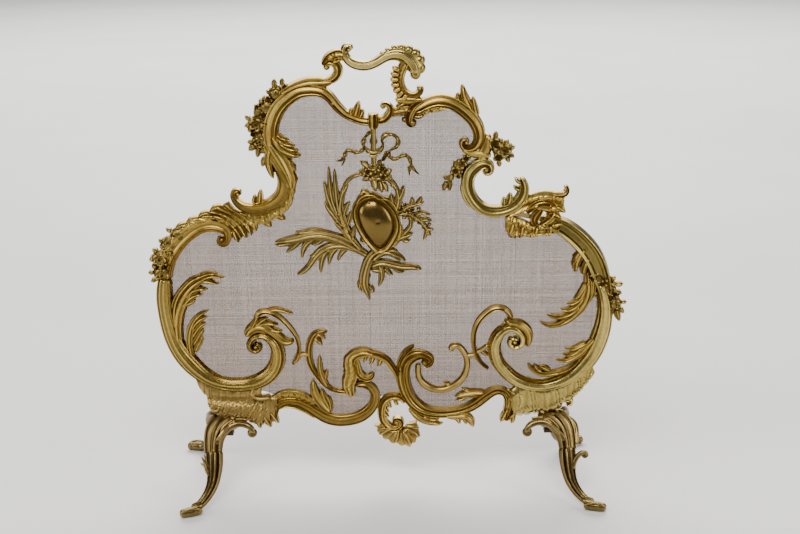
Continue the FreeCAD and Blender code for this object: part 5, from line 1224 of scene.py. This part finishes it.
piece("cast_trophy_stem", TROPHY_GOLD, [
    bar([(-6, 392, 8), (-17, 388, 14), (-26, 378, 16), (-32, 362, 16), (-35, 346, 17), (-34, 334, 15),
        (-30, 322, 9), (-27, 311, 3)], LEAF, 12, lanes=37),
    *leaves(9, 2, [(-38, 344, 8), (-42, 334, 7), (-38, 326, 3)], [(-28, 336, 7), (-22, 328, 6),
        (-20, 322, 2)]),
    leaf([(-22, 374, 9), (-12, 384, 11), (0, 389, 11), (12, 386, 9), (22, 381, 6), (30, 374, 2.5)], 11, 3),
    *leaves(9, 2, [(-2, 388, 7), (8, 392, 7), (18, 390, 3)], [(6, 386, 7), (16, 380, 6), (22, 374, 2)]),
    leaf([(-24, 366, 9), (-8, 371, 12), (10, 368, 12), (28, 365, 11), (42, 365, 8), (54, 361, 4)], 11, 3,
        point=(.5, 1.2)),
    leaf([(-12, 368, 8), (-8, 358, 9), (-8, 346, 8), (-13, 334, 3)], 9, 3),
    leaf([(-24, 360, 8), (-14, 360, 8), (-4, 356, 3)], 9, 2),
    *leaves(8, 2, [(-4, 364, 7), (4, 356, 6), (10, 352, 2)], [(10, 364, 7), (20, 358, 6), (28, 357, 2)])])


# ---------------------------------------------------------------- wire cloth
CLOTH_EDGE = [(-164, 560), (-166, 585), (-157, 608), (-140, 627), (-110, 636), (-86, 630), (-66, 609),
    (-45, 596), (-20, 591), (6, 599), (30, 607), (52, 613), (75, 620), (100, 616), (122, 602), (136, 584),
    (140, 566), (141, 545), (133, 524), (125, 506), (125, 488), (131, 472), (142, 460), (160, 452),
    (180, 452), (200, 444), (216, 436), (236, 433), (258, 429), (282, 416), (303, 396), (318, 374),
    (328, 350), (334, 325), (337, 300), (337, 270), (332, 245), (321, 216), (302, 190), (280, 173),
    (250, 164), (222, 163), (204, 156), (188, 153), (170, 154), (150, 141), (126, 125), (100, 118),
    (70, 119), (48, 129), (34, 146), (18, 151), (0, 149), (-14, 143), (-24, 129), (-40, 114), (-62, 107),
    (-88, 108), (-110, 118), (-130, 130), (-150, 139), (-172, 144), (-192, 154), (-214, 160), (-240, 169),
    (-268, 173), (-295, 188), (-316, 210), (-331, 236), (-340, 262), (-344, 290), (-345, 320), (-341, 352),
    (-332, 382), (-316, 404), (-297, 421), (-272, 433), (-248, 436), (-225, 434), (-205, 439), (-180, 450),
    (-160, 464), (-151, 482), (-149, 502), (-151, 522), (-158, 541)]
MESH_PITCH = 1.1
WIRE = 0.52
WIRE_CORNERS = np.array([[-1, -.6], [0, -1], [1, -.6], [1, .6], [0, 1], [-1, .6]])


def crossings(edge, level, axis):
    """where a straight line at a level of one axis crosses a closed outline, in pairs along the other"""
    a, b = edge, np.roll(edge, -1, 0)
    hit = (a[:, axis] > level) != (b[:, axis] > level)
    t = (level - a[hit, axis]) / (b[hit, axis] - a[hit, axis])
    return np.sort(a[hit, 1 - axis] + (b[hit, 1 - axis] - a[hit, 1 - axis]) * t).reshape(-1, 2)


def wires(axis, depth, seed):
    """six-sided wires side by side, each from edge to edge of the cloth; each wanders from its place by a
    slow wave, and its thickness differs a little from its neighbours'"""
    draw = np.random.default_rng(seed)
    edge = dense(CLOTH_EDGE, closed=True, fine=4)[:-1]
    out = []
    for level in np.arange(edge[:, axis].min() + 1, edge[:, axis].max() - 1, MESH_PITCH):
        drift, thick = draw.normal(0, .045), WIRE * draw.uniform(.9, 1.14)
        for start, end in crossings(edge, level, axis):
            along = np.linspace(start, end, 5)[:, None]
            place = level + drift + 0.05 * np.sin(along / 61 + level / 47)
            corner = WIRE_CORNERS * thick / 2
            a = np.broadcast_to(along, (5, 6))
            b = place + corner[:, 0]
            y = np.broadcast_to(depth + corner[:, 1], (5, 6))
            out.append(np.stack([b, y, a] if axis == 0 else [a, y, b], -1))
    return out


piece("woven_wire_cloth", OLD_WIRE, [
    *wires(0, .3, 1),
    *wires(1, .52, 2)], ["wire_cloth"], stagger=0)

# ---------------------------------------------------------------- pieces that keep their own shape
for name, finish in (("retaining_strips", STRIP_BRASS), ("strip_screws", FIXING_BRASS),
                     ("trophy_studs", FIXING_BRASS), ("foot_bolts", BOLT_SHADE_BROWN)):
    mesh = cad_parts[name].data
    mesh.materials.clear()
    mesh.materials.append(finish)

# ---------------------------------------------------------------- floor, light and camera
material, tree, shader = new_material("pale_floor")
where = node(tree, "ShaderNodeTexCoord").outputs["Object"]
tone = spread(tree, noise(tree, where, 1.3, 3.0), .3, .7)
tree.links.new(mix_colour(tree, tone, (.74, .73, .71, 1), (.78, .77, .75, 1)), shader.inputs["Base Color"])
shader.inputs["Roughness"].default_value = 0.75
low, high = cad_box
floor_mesh = bpy.data.meshes.new("floor")
floor_corners = [(x, y, low.z) for x, y in ((-30, -20), (30, -20), (30, 40), (-30, 40))]
floor_mesh.from_pydata(floor_corners, [], [(0, 1, 2, 3)])
floor_mesh.materials.append(material)
floor = bpy.data.objects.new("floor", floor_mesh)
bpy.context.scene.collection.objects.link(floor)


def soft_light(name, place, aim, size, watts, colour=(1, 1, 1)):
    data = bpy.data.lights.new(name, "AREA")
    data.shape, data.size, data.size_y = "RECTANGLE", size[0], size[1]
    data.energy, data.color = watts, colour
    lamp = bpy.data.objects.new(name, data)
    lamp.location = place
    lamp.rotation_euler = (Vector(aim) - Vector(place)).to_track_quat("-Z", "Y").to_euler()
    bpy.context.scene.collection.objects.link(lamp)


middle = (low + high) / 2
soft_light("overhead", (-.3, -1.3, 2.2), middle, (1.5, .8), 46, (1, .98, .95))
soft_light("left_window", (-2.2, -1.1, 1.2), middle, (.8, 1.5), 22)
soft_light("right_window", (2.3, -.9, 1.2), middle, (.8, 1.5), 24)
soft_light("back_fill", (.2, 2.2, 1.8), middle, (1.6, 1.0), 18)
soft_light("far_floor", (0, 5.5, 4.2), (0, 5.2, 0), (9, 7), 1000)
world = bpy.data.worlds.new("studio")
bpy.context.scene.world = world
world.use_nodes = True
world.node_tree.nodes["Background"].inputs["Color"].default_value = (.86, .86, .88, 1)
world.node_tree.nodes["Background"].inputs["Strength"].default_value = 0.3

# a normal lens 1.6 m before the cloth and a little above the handle, tipped 18.2 degrees down
pitch, roll_angle = np.radians(18.2), np.radians(0.55)
forward = np.array([0, np.cos(pitch), -np.sin(pitch)])
right = np.array([1.0, 0, 0])
upward = np.cross(right, forward)
right, upward = (right * np.cos(roll_angle) - upward * np.sin(roll_angle),
                 right * np.sin(roll_angle) + upward * np.cos(roll_angle))
camera_data = bpy.data.cameras.new("camera")
camera_data.lens, camera_data.sensor_width = 49.5, 36.0
camera = bpy.data.objects.new("camera", camera_data)
eye = (np.array([20.8, -1612, 893]) + ZERO) / 1000
camera.matrix_world = Matrix([[right[i], upward[i], -forward[i], eye[i]] for i in range(3)] + [[0, 0, 0, 1]])
bpy.context.scene.collection.objects.link(camera)
bpy.context.scene.camera = camera
